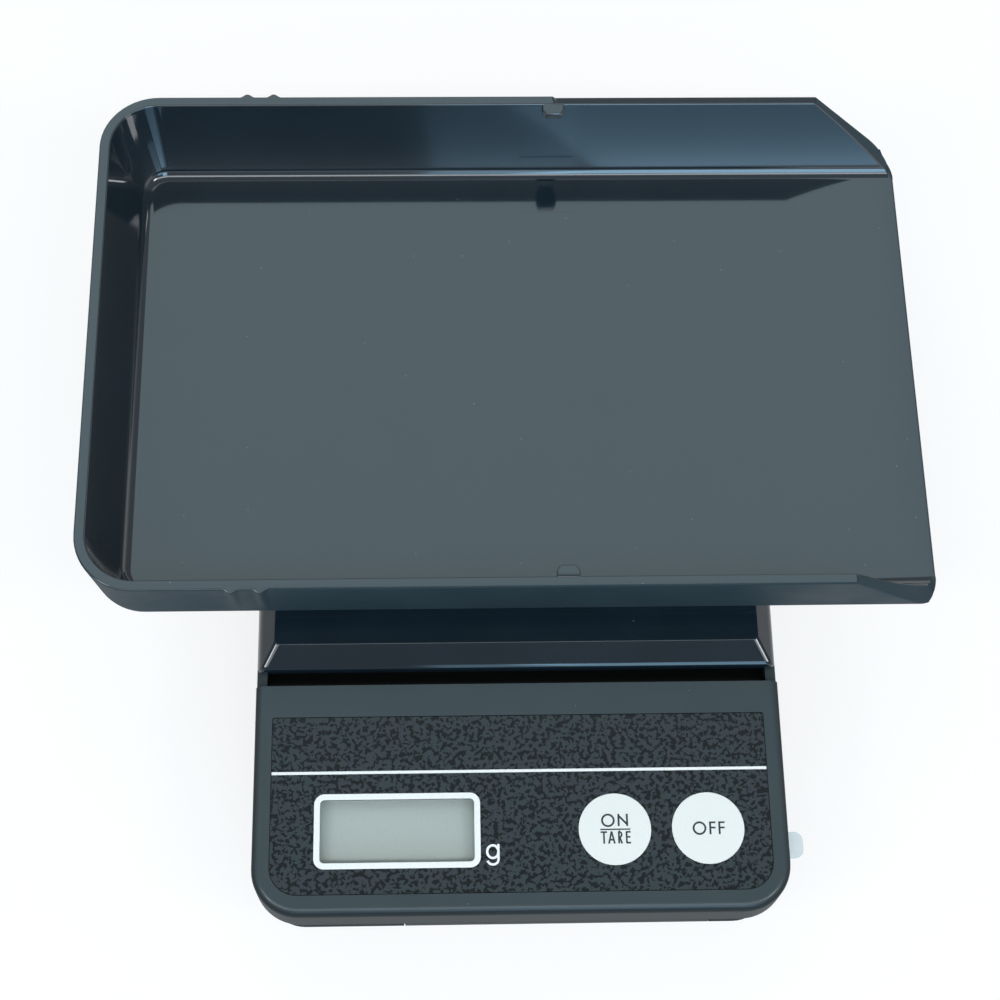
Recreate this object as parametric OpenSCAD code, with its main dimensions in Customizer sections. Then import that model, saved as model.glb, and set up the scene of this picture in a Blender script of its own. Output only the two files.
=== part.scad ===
// Pocket scale with a weighing platform and a loose scoop-shaped tray.
// The origin is on the table under the middle of the scale. +Z is up, and the
// control panel faces a user who stands on the -Y side.

/* [Housing] */
// Width of the housing, side to side
body_w = 83; // [82:0.5:85]
// Length of the housing, front to back
body_l = 133.4; // [132:0.2:136]
// Height of the control deck above the table
deck_h = 19.5; // [19.5:0.1:20.5]
// Radius of the housing's corners, seen from above
corner_r = 7.5; // [6.5:0.5:9]
// Radius of the rounded edge round the control deck
edge_r = 1.4; // [0.8:0.2:2]
// Height of the upper housing's side wall
upper_h = 7; // [7:0.1:7.4]
// How far the lower housing is set in from the upper one
lower_inset = 1.4; // [1.2:0.1:1.5]
// Length of the control deck, front to back
deck_l = 36.35; // [36.35:0.05:37]

/* [Control panel] */
// Width of the printed panel
panel_w = 77.2; // [76:0.2:78]
// Length of the printed panel, front to back
panel_l = 27.8; // [27.4:0.2:28.2]
// Distance from the housing's front to the panel
panel_setback = 3.25; // [3:0.05:3.5]
// Width of the display window
window_w = 23.8; // [22:0.2:24]
// Length of the display window, front to back
window_l = 9.85; // [9:0.05:10]
// Diameter of a key
key_d = 11.2; // [10.6:0.1:11.4]
// Distance between the two keys
key_pitch = 14.44; // [14.2:0.02:15]
// How far a key goes down
key_travel = 0.4; // [0.2:0.05:0.4]

/* [Platform] */
// Height of the platform's top above the control deck
platform_rise = 1.45; // [1.3:0.05:2]
// Half width of the platform's flat top
platform_flat = 38.5; // [38:0.1:39]
// Gap between the control deck and the platform
platform_gap = 2.65; // [2.4:0.05:3]
// How far the platform sinks under its rated load
platform_travel = 0.3; // [0.1:0.05:0.3]

/* [Tray] */
// Length of the tray, from its closed end to its pouring lip
tray_l = 135.8; // [134:0.2:138]
// Width of the tray over its rims
tray_w = 88; // [87:0.5:90]
// Height of the tray
tray_h = 17.4; // [16:0.2:19]
// Thickness of the tray's walls at the rim
tray_rim = 1.76; // [1.6:0.02:1.9]
// Lean of the tray's walls, in degrees
tray_draft = 5; // [3:0.5:6]
// Radius of the tray's corners at the rim
tray_corner_r = 9.5; // [9:0.5:12]

/* [Hidden] */
$fn = 64;
far = 200;
skim = 0.5;

shell_grey = "#454c50";
platform_grey = "#2b3a44";
tray_grey = "#4c595e";
panel_grey = "#3e484b";
print_white = "#dfe8e6";
board_green = "#2f5d3a";
steel = "#b9bcbd";
aluminium = "#c3c6c8";
rubber_black = "#202224";

// Housing levels and outlines
front_y = -67.15;
back_y = front_y + body_l;
body_y = (front_y + back_y) / 2;
base_z = 0.8;
floor_t = 1.5;
floor_z = base_z + floor_t;
split_z = deck_h - upper_h;
skin = 2.3;
overlay_t = 0.4;
deck_under = deck_h - 1.8;
deck_back = front_y + deck_l;
bulkhead_t = 1.5;
rail_t = 1.6;
rail_z = deck_h - 2.6;
well_z = deck_h - 5;
well_t = 1.5;
well_under = well_z - well_t;
base_w = body_w - 2 * lower_inset;
base_l = body_l - 2 * lower_inset;
base_r = corner_r - lower_inset;
base_edge_r = 2.5;
base_wall = 1.6;
base_front = body_y - base_l / 2;
base_inner_front = base_front + base_wall;

// Control panel
panel_front = front_y + panel_setback;
panel_corner_r = 4.35;
panel_corner_back_r = 0.4;
panel_gap = 0.12;
line_y = -45;
line_w = 0.45;
print_t = 0.04;
window_x = -19.1;
window_y = -54.22;
window_corner_r = 0.7;
frame_w = 0.92;
lens_w = window_w + 2.6;
lens_l = window_l + 2.6;
lens_t = 1;
lens_z = deck_h - overlay_t - lens_t;
ledge = 0.9;
slip = 0.1;
key_x = 21.7;
key_y = -54.41;
key_slip = 0.08;
key_rim = 0.9;
key_rim_t = 0.5;
key_rim_gap = 0.05;
plunger_r = 1.6;

// Circuit board and what it carries
board_z = deck_h - 5.5;
board_t = 1;
board_top = board_z + board_t;
board_left = -37;
board_right = 36.5;
board_front = -62.5;
board_back = -38.3;
stake_r = 0.8;
stake_spots = [[-35.2, -41.2], [0.5, -60.6], [34.2, -41.2], [9, -40.6]];
stake_boss_r = 1.7;
stake_head_r = 1.5;
stake_head_t = 0.35;
glass_w = 29.4;
glass_l = 14.6;
glass_t = 1.5;
glass_z = deck_under - 0.1 - glass_t;
zebra_w = 1.8;
zebra_inset = 0.3;
switch_w = 6;
switch_h = 0.9;
actuator_r = 1.7;
actuator_top = deck_under - key_rim_gap - key_rim_t - 0.1 - key_travel - 0.05;
blob_r = 4.4;
blob_h = 1.05;
blob_spot = [-28, -52];

// Battery bay: two AAA cells side by side
cell_r = 5.25;
battery_l = 44.5;
nub_r = 1.9;
nub_l = 0.8;
battery_z = base_z + 6.65;
battery_front_y = -57.2;
battery_rear_y = -46.2;
bay_left = -18.4;
bay_right = 30.3;
bay_wall = 1.6;
bay_play = 0.2;
bay_top = board_z - 0.6;
bay_front = battery_front_y - cell_r - bay_play;
bay_back = battery_rear_y + cell_r + bay_play;
plate_t = 0.4;
plate_left = bay_left + 0.05 + plate_t;
plate_right = bay_right - 0.05 - plate_t;
spring_l = plate_right - plate_left - battery_l;
plate_r = 4.6;
leaf_y = -55.6;
leaf_w = 3;
leaf_t = 0.2;
leaf_end = 34.5;
leaf_slot_w = 3.6;
front_leaf_z = bay_top + 0.02;
rear_leaf_z = board_z - leaf_t;
tab_y = -56;
tab_w = 4.2;
tab_t = 0.2;
tab_z = bay_top + 0.24;
tab_start = 32.2;
tab_tip = 44.45;
tab_corner_r = 1.4;
tab_slot_w = 5;
tab_slot_h = 0.6;

// Battery door, which slides off towards the front
door_t = 1.2;
door_slip = 0.2;
door_lip_h = 4;
door_lip_t = 1.5;
tongue_w = 0.8;
tongue_z = base_z + 0.4;
tongue_t = 0.6;
tongue_slip = 0.1;
grip_ribs = 5;
grip_pitch = 2;
grip_w = 1;
grip_depth = 0.35;

// Load cell, platform and overload stops
platform_front = deck_back + platform_gap;
platform_half = body_w / 2 - 0.1;
platform_top = deck_h + platform_rise;
platform_t = 1.55;
platform_under = platform_top - platform_t;
skirt_z = deck_h - 1.9;
skirt_t = 1.5;
side_bevel = 42;
side_round = 2.6;
front_bevel = 28;
front_bevel_l = 3.8;
front_round = 0.9;
middle_y = (platform_front + back_y) / 2;
beam_l = 60;
beam_w = 12;
beam_h = 6;
beam_z = floor_z + 2;
beam_top = beam_z + beam_h;
beam_front = middle_y - beam_l / 2;
beam_back = middle_y + beam_l / 2;
flexure_r = 2.2;
flexure_half = 5;
beam_screws_low = [beam_front + 4, beam_front + 11];
beam_screws_top = [beam_back - 11, beam_back - 4];
screw_r = 1.5;
screw_play = 0.06;
spacer_l = 15;
spacer_t = 2;
post_w = 14;
post_l = 17;
post_play = 1.5;
support_t = 2;
support_z = platform_under - support_t;
support_half = 30;
arm_w = 12;
arm_spots = [beam_front + 5, beam_back - 5];
pin_x = 26.5;
pin_r = 1.2;
pin_head_r = 2;
pin_head_t = 0.5;
stop_x = 19;
stop_r = 1.8;
stop_gap = platform_travel + 0.15;
overload_y = beam_back - 7.5;
overload_gap = platform_travel + 0.1;
gauge_w = 5;
gauge_l = 8;
gauge_t = 0.3;
gauge_tops = beam_top + gauge_t;
wire_r = 0.3;
wire_pitch = 1.3;
wire_count = 4;
wire_z = gauge_tops + wire_r;
wire_route = [[0, 14], [0, -15], [-25, -34], [-28, -43.5]];

// Fasteners and feet
housing_screw_spots = [[-35, -35.4], [35, -35.4], [-33.5, 52], [33.5, 52]];
post_top_z = base_z + 6;
low_post_r = 3.3;
upper_post_r = 2.6;
counterbore_r = 2.3;
counterbore_top = base_z + 3.6;
thread_r = 1;
screw_head_r = 2.1;
screw_head_t = 1.4;
screw_l = 7;
foot_r = 2.8;
foot_play = 0.06;
foot_recess = 0.8;
foot_edge = 0.3;
foot_x = 34.5;
foot_front_y = -60;
foot_rear_y = 58;

// Side ribs that the turned-over tray snaps under
catch_r = 0.9;
catch_l = 8;
catch_y = -7.4;
catch_z = base_z + 6.9;

// Tray
tray_left = -68.1;
tray_right = tray_left + tray_l;
tray_y = 22.57;
tray_z = platform_top;
tray_floor_t = 1.6;
tray_floor = tray_z + tray_floor_t;
tray_top = tray_z + tray_h;
tray_outer_fillet = 6;
tray_inner_fillet = 4.2;
tray_past_end = 30;
pour_slope = 46;
pour_setback = 16;
lip_corner_r = 7;
nub_x = 7.5;
nub_root = 3.7;
nub_tip = 2.5;
nub_depth = 1.9;
nub_t = 1.5;
rib_spots = [-43.9, -39.5];
rib_r = 0.6;

// Flat outlines and profiles

// Rectangle with round corners, centred
module rounded_plan(w, l, r) {
    square([w - 2 * r, l], center = true);
    square([w, l - 2 * r], center = true);
    for (x = [-1, 1], y = [-1, 1])
        translate([x * (w / 2 - r), y * (l / 2 - r)])
            circle(r);
}

// Upright wall's section, from the corner's axis out to r, with both edges rounded
module eased_profile(r, low_z, high_z, high_r, low_r) {
    translate([0, low_z + low_r])
        square([r, high_z - low_z - low_r - high_r]);
    translate([0, high_z - high_r])
        square([r - high_r, high_r]);
    translate([r - high_r, high_z - high_r])
        circle(high_r);
    translate([0, low_z])
        square([r - low_r, low_r]);
    translate([r - low_r, low_z + low_r])
        circle(low_r);
}

// Carries a section round a rectangle of straight runs and quarter turns
module swept_round(w, l, r) {
    for (side = [0:3]) {
        reach = (side % 2 == 0 ? w : l) / 2 - r;
        along = (side % 2 == 0 ? l : w) / 2 - r;
        rotate([0, 0, 90 * side]) {
            translate([reach, along, 0])
                rotate_extrude(angle = 90)
                    children();
            translate([reach, 0, 0])
                rotate([90, 0, 0])
                    linear_extrude(height = 2 * along, center = true)
                        children();
        }
    }
}

// Solid block with round corners and rounded top and bottom edges
module eased_block(w, l, r, low_z, high_z, high_r, low_r) {
    swept_round(w, l, r)
        eased_profile(r, low_z, high_z, high_r, low_r);
    translate([r - w / 2, r - l / 2, low_z])
        cube([w - 2 * r, l - 2 * r, high_z - low_z]);
}

// Rod along X
module rod_x(r, from_x, to_x) {
    translate([from_x, 0, 0])
        rotate([0, 90, 0])
            cylinder(r = r, h = to_x - from_x);
}

// A route with its corners cut, so that a tube can follow it round gentle bends
function softened(points) = concat(
    [points[0]],
    [
        for (i = [0:len(points) - 2])
            for (part = [0.25, 0.75])
                points[i] * (1 - part) + points[i + 1] * part
    ],
    [points[len(points) - 1]]
);

// Tube that follows a list of points: rings of sides, and a face at each end
module tube_along(points, r, sides) {
    last = len(points) - 1;
    function way(i) = points[min(i + 1, last)] - points[max(i - 1, 0)];
    function unit(v) = v / norm(v);
    rings = [
        for (i = [0:last])
            let (t = unit(way(i)), u = unit(cross(t, [1, 0, 0])), v = cross(t, u))
                for (k = [0:sides - 1])
                    points[i] + r * (cos(360 * k / sides) * u + sin(360 * k / sides) * v)
    ];
    skin_faces = [
        for (i = [0:last - 1], k = [0:sides - 1])
            let (a = i * sides + k, b = i * sides + (k + 1) % sides)
                for (face = [[a, b, b + sides], [a, b + sides, a + sides]])
                    face
    ];
    start_face = [for (k = [sides - 1:-1:0]) k];
    end_face = [for (k = [0:sides - 1]) last * sides + k];
    polyhedron(rings, concat([start_face], skin_faces, [end_face]), convexity = 6);
}

// Housing

module base_block(low_z, high_z) {
    translate([0, body_y, 0])
        eased_block(base_w, base_l, base_r, low_z, high_z, 0.01, base_edge_r);
}

module plan_at(w, l, r, low_z, high_z) {
    translate([0, body_y, low_z])
        linear_extrude(height = high_z - low_z)
            rounded_plan(w, l, r);
}

module panel_plan(grow) {
    half = panel_w / 2 + grow;
    low = panel_front - grow;
    high = panel_front + panel_l + grow;
    front_r = panel_corner_r;
    back_r = panel_corner_back_r;
    translate([-half, low + front_r])
        square([2 * half, high - low - front_r - back_r]);
    translate([front_r - half, low])
        square([2 * (half - front_r), front_r + skim]);
    translate([back_r - half, high - back_r - skim])
        square([2 * (half - back_r), back_r + skim]);
    for (side = [-1, 1]) {
        translate([side * (half - front_r), low + front_r])
            circle(front_r);
        translate([side * (half - back_r), high - back_r])
            circle(back_r);
    }
}

module at_keys() {
    for (side = [-1, 1])
        translate([key_x + side * key_pitch / 2, key_y, 0])
            children();
}

module at_window() {
    translate([window_x, window_y, 0])
        children();
}

module upper_cavity() {
    plan_at(body_w - 2 * skin, body_l - 2 * skin, corner_r - skin, split_z - skim, well_under);
    intersection() {
        plan_at(body_w - 2 * skin, body_l - 2 * skin, corner_r - skin, split_z - skim, deck_under);
        translate([-far, -far, 0])
            cube([2 * far, far + deck_back - bulkhead_t, far]);
    }
}

module platform_well() {
    intersection() {
        plan_at(body_w - 2 * rail_t, body_l - 2 * rail_t, corner_r - rail_t, well_z, far);
        translate([-far, deck_back, 0])
            cube([2 * far, far, far]);
    }
}

module upper_housing() {
    color(shell_grey)
        difference() {
            union() {
                difference() {
                    translate([0, body_y, 0])
                        eased_block(body_w, body_l, corner_r, split_z, deck_h, edge_r, 0.01);
                    upper_cavity();
                    platform_well();
                    translate([-far, deck_back, rail_z])
                        cube([2 * far, far, far]);
                }
                for (spot = housing_screw_spots) {
                    ceiling = spot[1] < deck_back ? deck_under : well_under;
                    translate([spot[0], spot[1], post_top_z])
                        cylinder(r = upper_post_r, h = ceiling - post_top_z + skim);
                }
                for (spot = stake_spots)
                    translate([spot[0], spot[1], 0]) {
                        translate([0, 0, board_top])
                            cylinder(r = stake_boss_r, h = deck_under - board_top + skim);
                        translate([0, 0, board_z - skim / 2])
                            cylinder(r = stake_r, h = board_t + skim);
                        translate([0, 0, board_z - stake_head_t])
                            cylinder(r = stake_head_r, h = stake_head_t);
                    }
                for (x = [-stop_x, stop_x], y = arm_spots)
                    translate([x, y, well_z - skim])
                        cylinder(r = stop_r, h = support_z - stop_gap - well_z + skim);
            }
            translate([0, 0, deck_h - overlay_t])
                linear_extrude(height = 1)
                    panel_plan(panel_gap);
            at_window() {
                translate([0, 0, lens_z])
                    linear_extrude(height = lens_t + skim)
                        rounded_plan(lens_w + 2 * slip, lens_l + 2 * slip, window_corner_r);
                translate([0, 0, deck_under - skim])
                    linear_extrude(height = 2)
                        rounded_plan(lens_w - 2 * ledge, lens_l - 2 * ledge, window_corner_r);
            }
            at_keys()
                translate([0, 0, deck_under - skim])
                    cylinder(r = key_d / 2 + key_slip, h = 3);
            translate([body_w / 2 - skin - skim, tab_y - tab_slot_w / 2, bay_top + 0.04])
                cube([skin + 2 * skim, tab_slot_w, tab_slot_h]);
            translate([-post_w / 2 - post_play, beam_back - post_l + 1 - post_play, well_under - skim])
                cube([post_w + 2 * post_play, post_l + 2 * post_play, well_t + 2 * skim]);
            for (spot = housing_screw_spots)
                translate([spot[0], spot[1], post_top_z - skim])
                    cylinder(r = thread_r + screw_play, h = screw_l - 1);
        }
}

module battery_rods(r) {
    for (y = [battery_front_y, battery_rear_y])
        translate([0, y, battery_z])
            rod_x(r, bay_left, bay_right);
}

module lower_housing() {
    color(shell_grey)
        difference() {
            union() {
                difference() {
                    base_block(base_z, split_z);
                    plan_at(base_w - 2 * base_wall, base_l - 2 * base_wall, base_r - base_wall, floor_z,
                        far);
                }
                translate([bay_left - bay_wall, base_inner_front - skim, floor_z - skim])
                    cube([
                        bay_right - bay_left + 2 * bay_wall - 0.3,
                        bay_back + 1.3 - base_inner_front + skim,
                        bay_top - floor_z + skim
                    ]);
                for (spot = housing_screw_spots)
                    translate([spot[0], spot[1], floor_z - skim])
                        cylinder(r = low_post_r, h = post_top_z - floor_z + skim);
                translate([0, overload_y, floor_z - skim])
                    cylinder(r = 3.2, h = 0.9 + skim);
                for (side = [-1, 1])
                    translate([side * base_w / 2, catch_y, catch_z])
                        rotate([90, 0, 0])
                            cylinder(r = catch_r, h = catch_l, center = true);
            }
            battery_rods(cell_r + bay_play);
            translate([bay_left, bay_front, -skim])
                cube([bay_right - bay_left, bay_back - bay_front, battery_z + skim]);
            translate([bay_left, -far, -skim])
                cube([bay_right - bay_left, far + bay_back, base_z + door_t + 0.1 + skim]);
            translate([bay_left, -far, -skim])
                cube([bay_right - bay_left, far + base_inner_front, base_z + door_lip_h + 0.1 + skim]);
            translate([bay_left - tongue_w + tongue_slip, -far, tongue_z - tongue_slip])
                cube([
                    bay_right - bay_left + 2 * (tongue_w - tongue_slip),
                    far + bay_back,
                    tongue_t + 2 * tongue_slip
                ]);
            for (y = [leaf_y, battery_rear_y])
                translate([plate_right - 0.1, y - leaf_slot_w / 2, battery_z])
                    cube([plate_t + 0.3, leaf_slot_w, far]);
            for (spot = housing_screw_spots)
                translate([spot[0], spot[1], -skim]) {
                    cylinder(r = counterbore_r, h = counterbore_top + skim);
                    cylinder(r = thread_r + 0.25, h = far);
                }
            for (y = beam_screws_low)
                translate([0, y, base_z - 0.01])
                    cylinder(r1 = 2 * screw_r, r2 = screw_r + screw_play, h = floor_t + 0.02);
            translate([0, overload_y, -skim])
                cylinder(r = screw_r + screw_play, h = 6);
            for (x = [-foot_x, foot_x], y = [foot_front_y, foot_rear_y])
                translate([x, y, -skim])
                    cylinder(r = foot_r + foot_play, h = base_z + foot_recess + skim);
        }
}

module battery_door() {
    door_left = bay_left + door_slip;
    door_right = bay_right - door_slip;
    door_back = bay_back - door_slip;
    color(shell_grey)
        difference() {
            intersection() {
                base_block(base_z, split_z);
                union() {
                    translate([door_left, base_front, base_z])
                        cube([door_right - door_left, door_back - base_front, door_t]);
                    translate([door_left, base_front, base_z])
                        cube([door_right - door_left, door_lip_t, door_lip_h]);
                    translate([door_left - tongue_w + tongue_slip * 2, base_front + 3, tongue_z])
                        cube([
                            door_right - door_left + 2 * (tongue_w - tongue_slip * 2),
                            door_back - base_front - 3.5,
                            tongue_t
                        ]);
                }
            }
            for (k = [0:grip_ribs - 1])
                translate([(door_left + door_right) / 2 - 9, base_front + 5 + grip_pitch * k, base_z - skim])
                    cube([18, grip_w, skim + grip_depth]);
        }
}

// Control panel

module window_plan(grow) {
    rounded_plan(window_w + 2 * grow, window_l + 2 * grow, window_corner_r + grow);
}

module panel_overlay() {
    color(panel_grey)
        difference() {
            translate([0, 0, deck_h - overlay_t])
                linear_extrude(height = overlay_t)
                    panel_plan(0);
            at_window()
                linear_extrude(height = far)
                    window_plan(0);
            at_keys()
                cylinder(r = key_d / 2 + key_slip, h = far);
        }
}

module panel_print() {
    color(print_white)
        translate([0, 0, deck_h]) {
            translate([-panel_w / 2, line_y - line_w / 2, 0])
                cube([panel_w, line_w, print_t]);
            at_window()
                linear_extrude(height = print_t)
                    difference() {
                        window_plan(frame_w);
                        window_plan(0);
                    }
        }
}

module display_lens() {
    color("#c8d2ce", 0.4)
        at_window()
            translate([0, 0, lens_z])
                linear_extrude(height = lens_t)
                    rounded_plan(lens_w, lens_l, window_corner_r);
}

module display_glass() {
    color("#9fada6")
        at_window()
            translate([-glass_w / 2, -glass_l / 2, glass_z])
                cube([glass_w, glass_l, glass_t]);
}

module zebra(side) {
    color("#d9a0a8")
        at_window()
            translate([
                zebra_inset - glass_w / 2,
                side * (glass_l / 2 - zebra_w / 2 - zebra_inset) - zebra_w / 2,
                board_top
            ])
                cube([glass_w - 2 * zebra_inset, zebra_w, glass_z - board_top]);
}

module key(side) {
    color(print_white)
        translate([key_x + side * key_pitch / 2, key_y, 0]) {
            rim_top = deck_under - key_rim_gap;
            plunger_z = rim_top - key_rim_t - 0.1;
            translate([0, 0, rim_top - key_rim_t])
                cylinder(r = key_d / 2 + key_rim, h = key_rim_t);
            translate([0, 0, rim_top - skim / 2])
                cylinder(r = key_d / 2, h = deck_h - rim_top + skim / 2);
            translate([0, 0, plunger_z])
                cylinder(r = plunger_r, h = skim);
        }
}

module key_switch(side) {
    color("#8d9498")
        translate([key_x + side * key_pitch / 2, key_y, board_top]) {
            translate([-switch_w / 2, -switch_w / 2, 0])
                cube([switch_w, switch_w, switch_h]);
            cylinder(r = actuator_r, h = actuator_top - board_top);
        }
}

// Electronics

module circuit_board() {
    color(board_green)
        difference() {
            translate([board_left, board_front, board_z])
                cube([board_right - board_left, board_back - board_front, board_t]);
            for (spot = stake_spots)
                translate([spot[0], spot[1], 0])
                    cylinder(r = stake_r + screw_play, h = far);
        }
}

module processor_blob() {
    ball_r = (blob_r * blob_r + blob_h * blob_h) / (2 * blob_h);
    color("#17191a")
        intersection() {
            translate([blob_spot[0], blob_spot[1], board_z - blob_h + ball_r])
                sphere(ball_r, $fn = 240);
            translate([blob_spot[0] - far, blob_spot[1] - far, board_z - far])
                cube([2 * far, 2 * far, far]);
        }
}

module board_parts() {
    chip_y = -43.4;
    color("#a8804e")
        for (x = [-27, -23, -19, -4, 0])
            translate([x, chip_y, board_top])
                cube([2, 1.2, 0.8]);
    color(steel)
        translate([0, -42.4, board_top + 1])
            rod_x(1, 14, 20);
    color("#2a2a2c")
        translate([24, -44.4, board_top])
            cube([4, 3, 1.4]);
}

module battery(y, turn) {
    color("#3b5c86")
        translate([(plate_left + plate_right) / 2, y, battery_z])
            rotate([0, 0, turn])
                translate([(plate_right - plate_left) / 2, 0, 0]) {
                    rod_x(cell_r, -battery_l, -nub_l);
                    rod_x(nub_r, -nub_l - skim, 0);
                }
}

// A cone of wire from the contact plate to the flat end of its battery
module battery_spring(y, turn) {
    turns = 3;
    steps = 20;
    wire = 0.25;
    lean = wire + 0.02;
    wide = 3.8;
    narrow = 2.6;
    path = [
        for (i = [0:turns * steps])
            let (part = i / (turns * steps), r = wide + (narrow - wide) * part, a = 360 * i / steps)
                [lean + (spring_l - 2 * lean) * part, r * cos(a), r * sin(a)]
    ];
    color(steel)
        translate([(plate_left + plate_right) / 2, y, battery_z])
            rotate([0, 0, turn])
                translate([(plate_left - plate_right) / 2, 0, 0])
                    tube_along(path, wire, 8);
}

module contact_disc(x, y) {
    translate([0, y, battery_z])
        rod_x(plate_r, x, x + plate_t);
}

module contact_bridge() {
    x = plate_left - plate_t;
    color(steel) {
        for (y = [battery_front_y, battery_rear_y])
            contact_disc(x, y);
        translate([x, battery_front_y, battery_z - plate_r])
            cube([plate_t, battery_rear_y - battery_front_y, plate_r]);
    }
}

// End plate whose leaf rises through the bay's roof; the board's pad is above the leaf
module contact_with_leaf(y, strip_y, leaf_z) {
    color(steel) {
        contact_disc(plate_right, y);
        translate([plate_right, strip_y - leaf_w / 2, battery_z])
            cube([plate_t, leaf_w, leaf_z + leaf_t - battery_z]);
        translate([plate_right, strip_y - leaf_w / 2, leaf_z])
            cube([leaf_end - plate_right, leaf_w, leaf_t]);
    }
}

module pull_tab() {
    color("#cfdcd6", 0.7)
        translate([0, tab_y, tab_z])
            linear_extrude(height = tab_t) {
                translate([tab_start, -tab_w / 2])
                    square([tab_tip - tab_corner_r - tab_start, tab_w]);
                translate([tab_start, tab_corner_r - tab_w / 2])
                    square([tab_tip - tab_start, tab_w - 2 * tab_corner_r]);
                for (side = [-1, 1])
                    translate([tab_tip - tab_corner_r, side * (tab_w / 2 - tab_corner_r)])
                        circle(tab_corner_r);
            }
}

// Load cell and platform

module load_cell() {
    color(aluminium)
        difference() {
            translate([-beam_w / 2, beam_front, beam_z])
                cube([beam_w, beam_l, beam_h]);
            translate([0, middle_y, beam_z + beam_h / 2]) {
                for (side = [-1, 1])
                    translate([0, side * flexure_half, 0])
                        rod_x(flexure_r, -beam_w, beam_w);
                translate([-beam_w, -flexure_half, -flexure_r / 2])
                    cube([2 * beam_w, 2 * flexure_half, flexure_r]);
            }
            for (y = concat(beam_screws_low, beam_screws_top))
                translate([0, y, 0])
                    cylinder(r = screw_r + screw_play, h = far);
        }
}

module strain_gauges() {
    color("#d8c79a")
        for (side = [-1, 1], z = [beam_z - gauge_t, beam_top])
            translate([-gauge_w / 2, middle_y + side * flexure_half - gauge_l / 2, z])
                cube([gauge_w, gauge_l, gauge_t]);
}

module cell_spacer(spots, from_y, z) {
    color(aluminium)
        difference() {
            translate([-beam_w / 2, from_y, z])
                cube([beam_w, spacer_l, spacer_t]);
            for (y = spots)
                translate([0, y, 0])
                    cylinder(r = screw_r + screw_play, h = far);
        }
}

module cell_screws_low() {
    color(steel)
        for (y = beam_screws_low)
            translate([0, y, base_z + 0.1]) {
                cylinder(r1 = 2 * screw_r - 0.2, r2 = screw_r, h = floor_t - 0.1);
                cylinder(r = screw_r, h = 7.5);
            }
}

module cell_screws_top() {
    head_z = support_z + 0.2;
    color(steel)
        for (y = beam_screws_top)
            translate([0, y, 0]) {
                translate([0, 0, head_z])
                    cylinder(r = 2.6, h = 1.6);
                translate([0, 0, beam_z + 1.4])
                    cylinder(r = screw_r, h = head_z - beam_z - 1.4);
            }
}

module overload_screw() {
    color(steel)
        translate([0, overload_y, base_z + 0.2])
            cylinder(r = screw_r, h = beam_z - overload_gap - base_z - 0.2);
}

module cell_wires() {
    color("#b3342c")
        for (k = [0:wire_count - 1]) {
            shift = (k - (wire_count - 1) / 2) * wire_pitch;
            last = len(wire_route) - 1;
            points = concat(
                [for (p = wire_route) [p[0] + shift, p[1], wire_z]],
                [[wire_route[last][0] + shift, wire_route[last][1], board_z]]
            );
            tube_along(softened(softened(points)), wire_r, 8);
        }
}

module platform_support() {
    color("#5b6164")
        difference() {
            union() {
                translate([-arm_w / 2, arm_spots[0], support_z])
                    cube([arm_w, arm_spots[1] - arm_spots[0], support_t]);
                for (y = arm_spots)
                    translate([0, y, support_z])
                        linear_extrude(height = support_t)
                            rounded_plan(2 * support_half, arm_w, 3);
                translate([-post_w / 2, beam_back - post_l + 1, beam_top + spacer_t])
                    cube([post_w, post_l, platform_under - beam_top - spacer_t]);
            }
            for (y = beam_screws_top)
                translate([0, y, 0]) {
                    cylinder(r = screw_r + screw_play, h = far);
                    translate([0, 0, support_z + 0.2])
                        cylinder(r = 2.7, h = far);
                }
            for (x = [-pin_x, pin_x], y = arm_spots)
                translate([x, y, 0])
                    cylinder(r = pin_r + screw_play, h = far);
        }
}

// Sloped and rounded edge of the platform, from x = 0 out to reach
module bevel_profile(reach, flat_x, slope, round_r) {
    centre_x = reach - round_r;
    centre_z = platform_top - (round_r + (centre_x - flat_x) * sin(slope)) / cos(slope);
    intersection() {
        union() {
            polygon([
                [0, skirt_z - skim],
                [reach, skirt_z - skim],
                [reach, centre_z],
                [centre_x + round_r * sin(slope), centre_z + round_r * cos(slope)],
                [flat_x, platform_top],
                [0, platform_top]
            ]);
            translate([centre_x, centre_z])
                circle(round_r);
        }
        translate([0, skirt_z])
            square([far, far]);
    }
}

module side_profile(from_x) {
    bevel_profile(platform_half - from_x, platform_flat - from_x, side_bevel, side_round);
}

module platform_outer() {
    turn_x = platform_half - corner_r;
    turn_y = back_y - corner_r;
    run = turn_y - platform_front;
    intersection() {
        for (side = [0, 1])
            mirror([side, 0, 0])
                translate([0, turn_y, 0])
                    rotate([90, 0, 0])
                        linear_extrude(height = run)
                            side_profile(0);
        translate([0, turn_y, 0])
            rotate([90, 0, -90])
                linear_extrude(height = 2 * far, center = true)
                    bevel_profile(run, run - front_bevel_l, front_bevel, front_round);
    }
    for (side = [0, 1])
        mirror([side, 0, 0])
            translate([turn_x, turn_y, 0])
                rotate_extrude(angle = 90)
                    side_profile(turn_x);
    translate([0, turn_y, 0])
        rotate([90, 0, 90])
            linear_extrude(height = 2 * turn_x, center = true)
                side_profile(turn_x);
}

module platform_hollow(inset, high_z) {
    from_y = platform_front + inset;
    translate([0, (from_y + back_y - inset) / 2, skirt_z - skim])
        linear_extrude(height = high_z - skirt_z + skim)
            rounded_plan(2 * (platform_half - inset), back_y - inset - from_y, 4);
}

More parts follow.
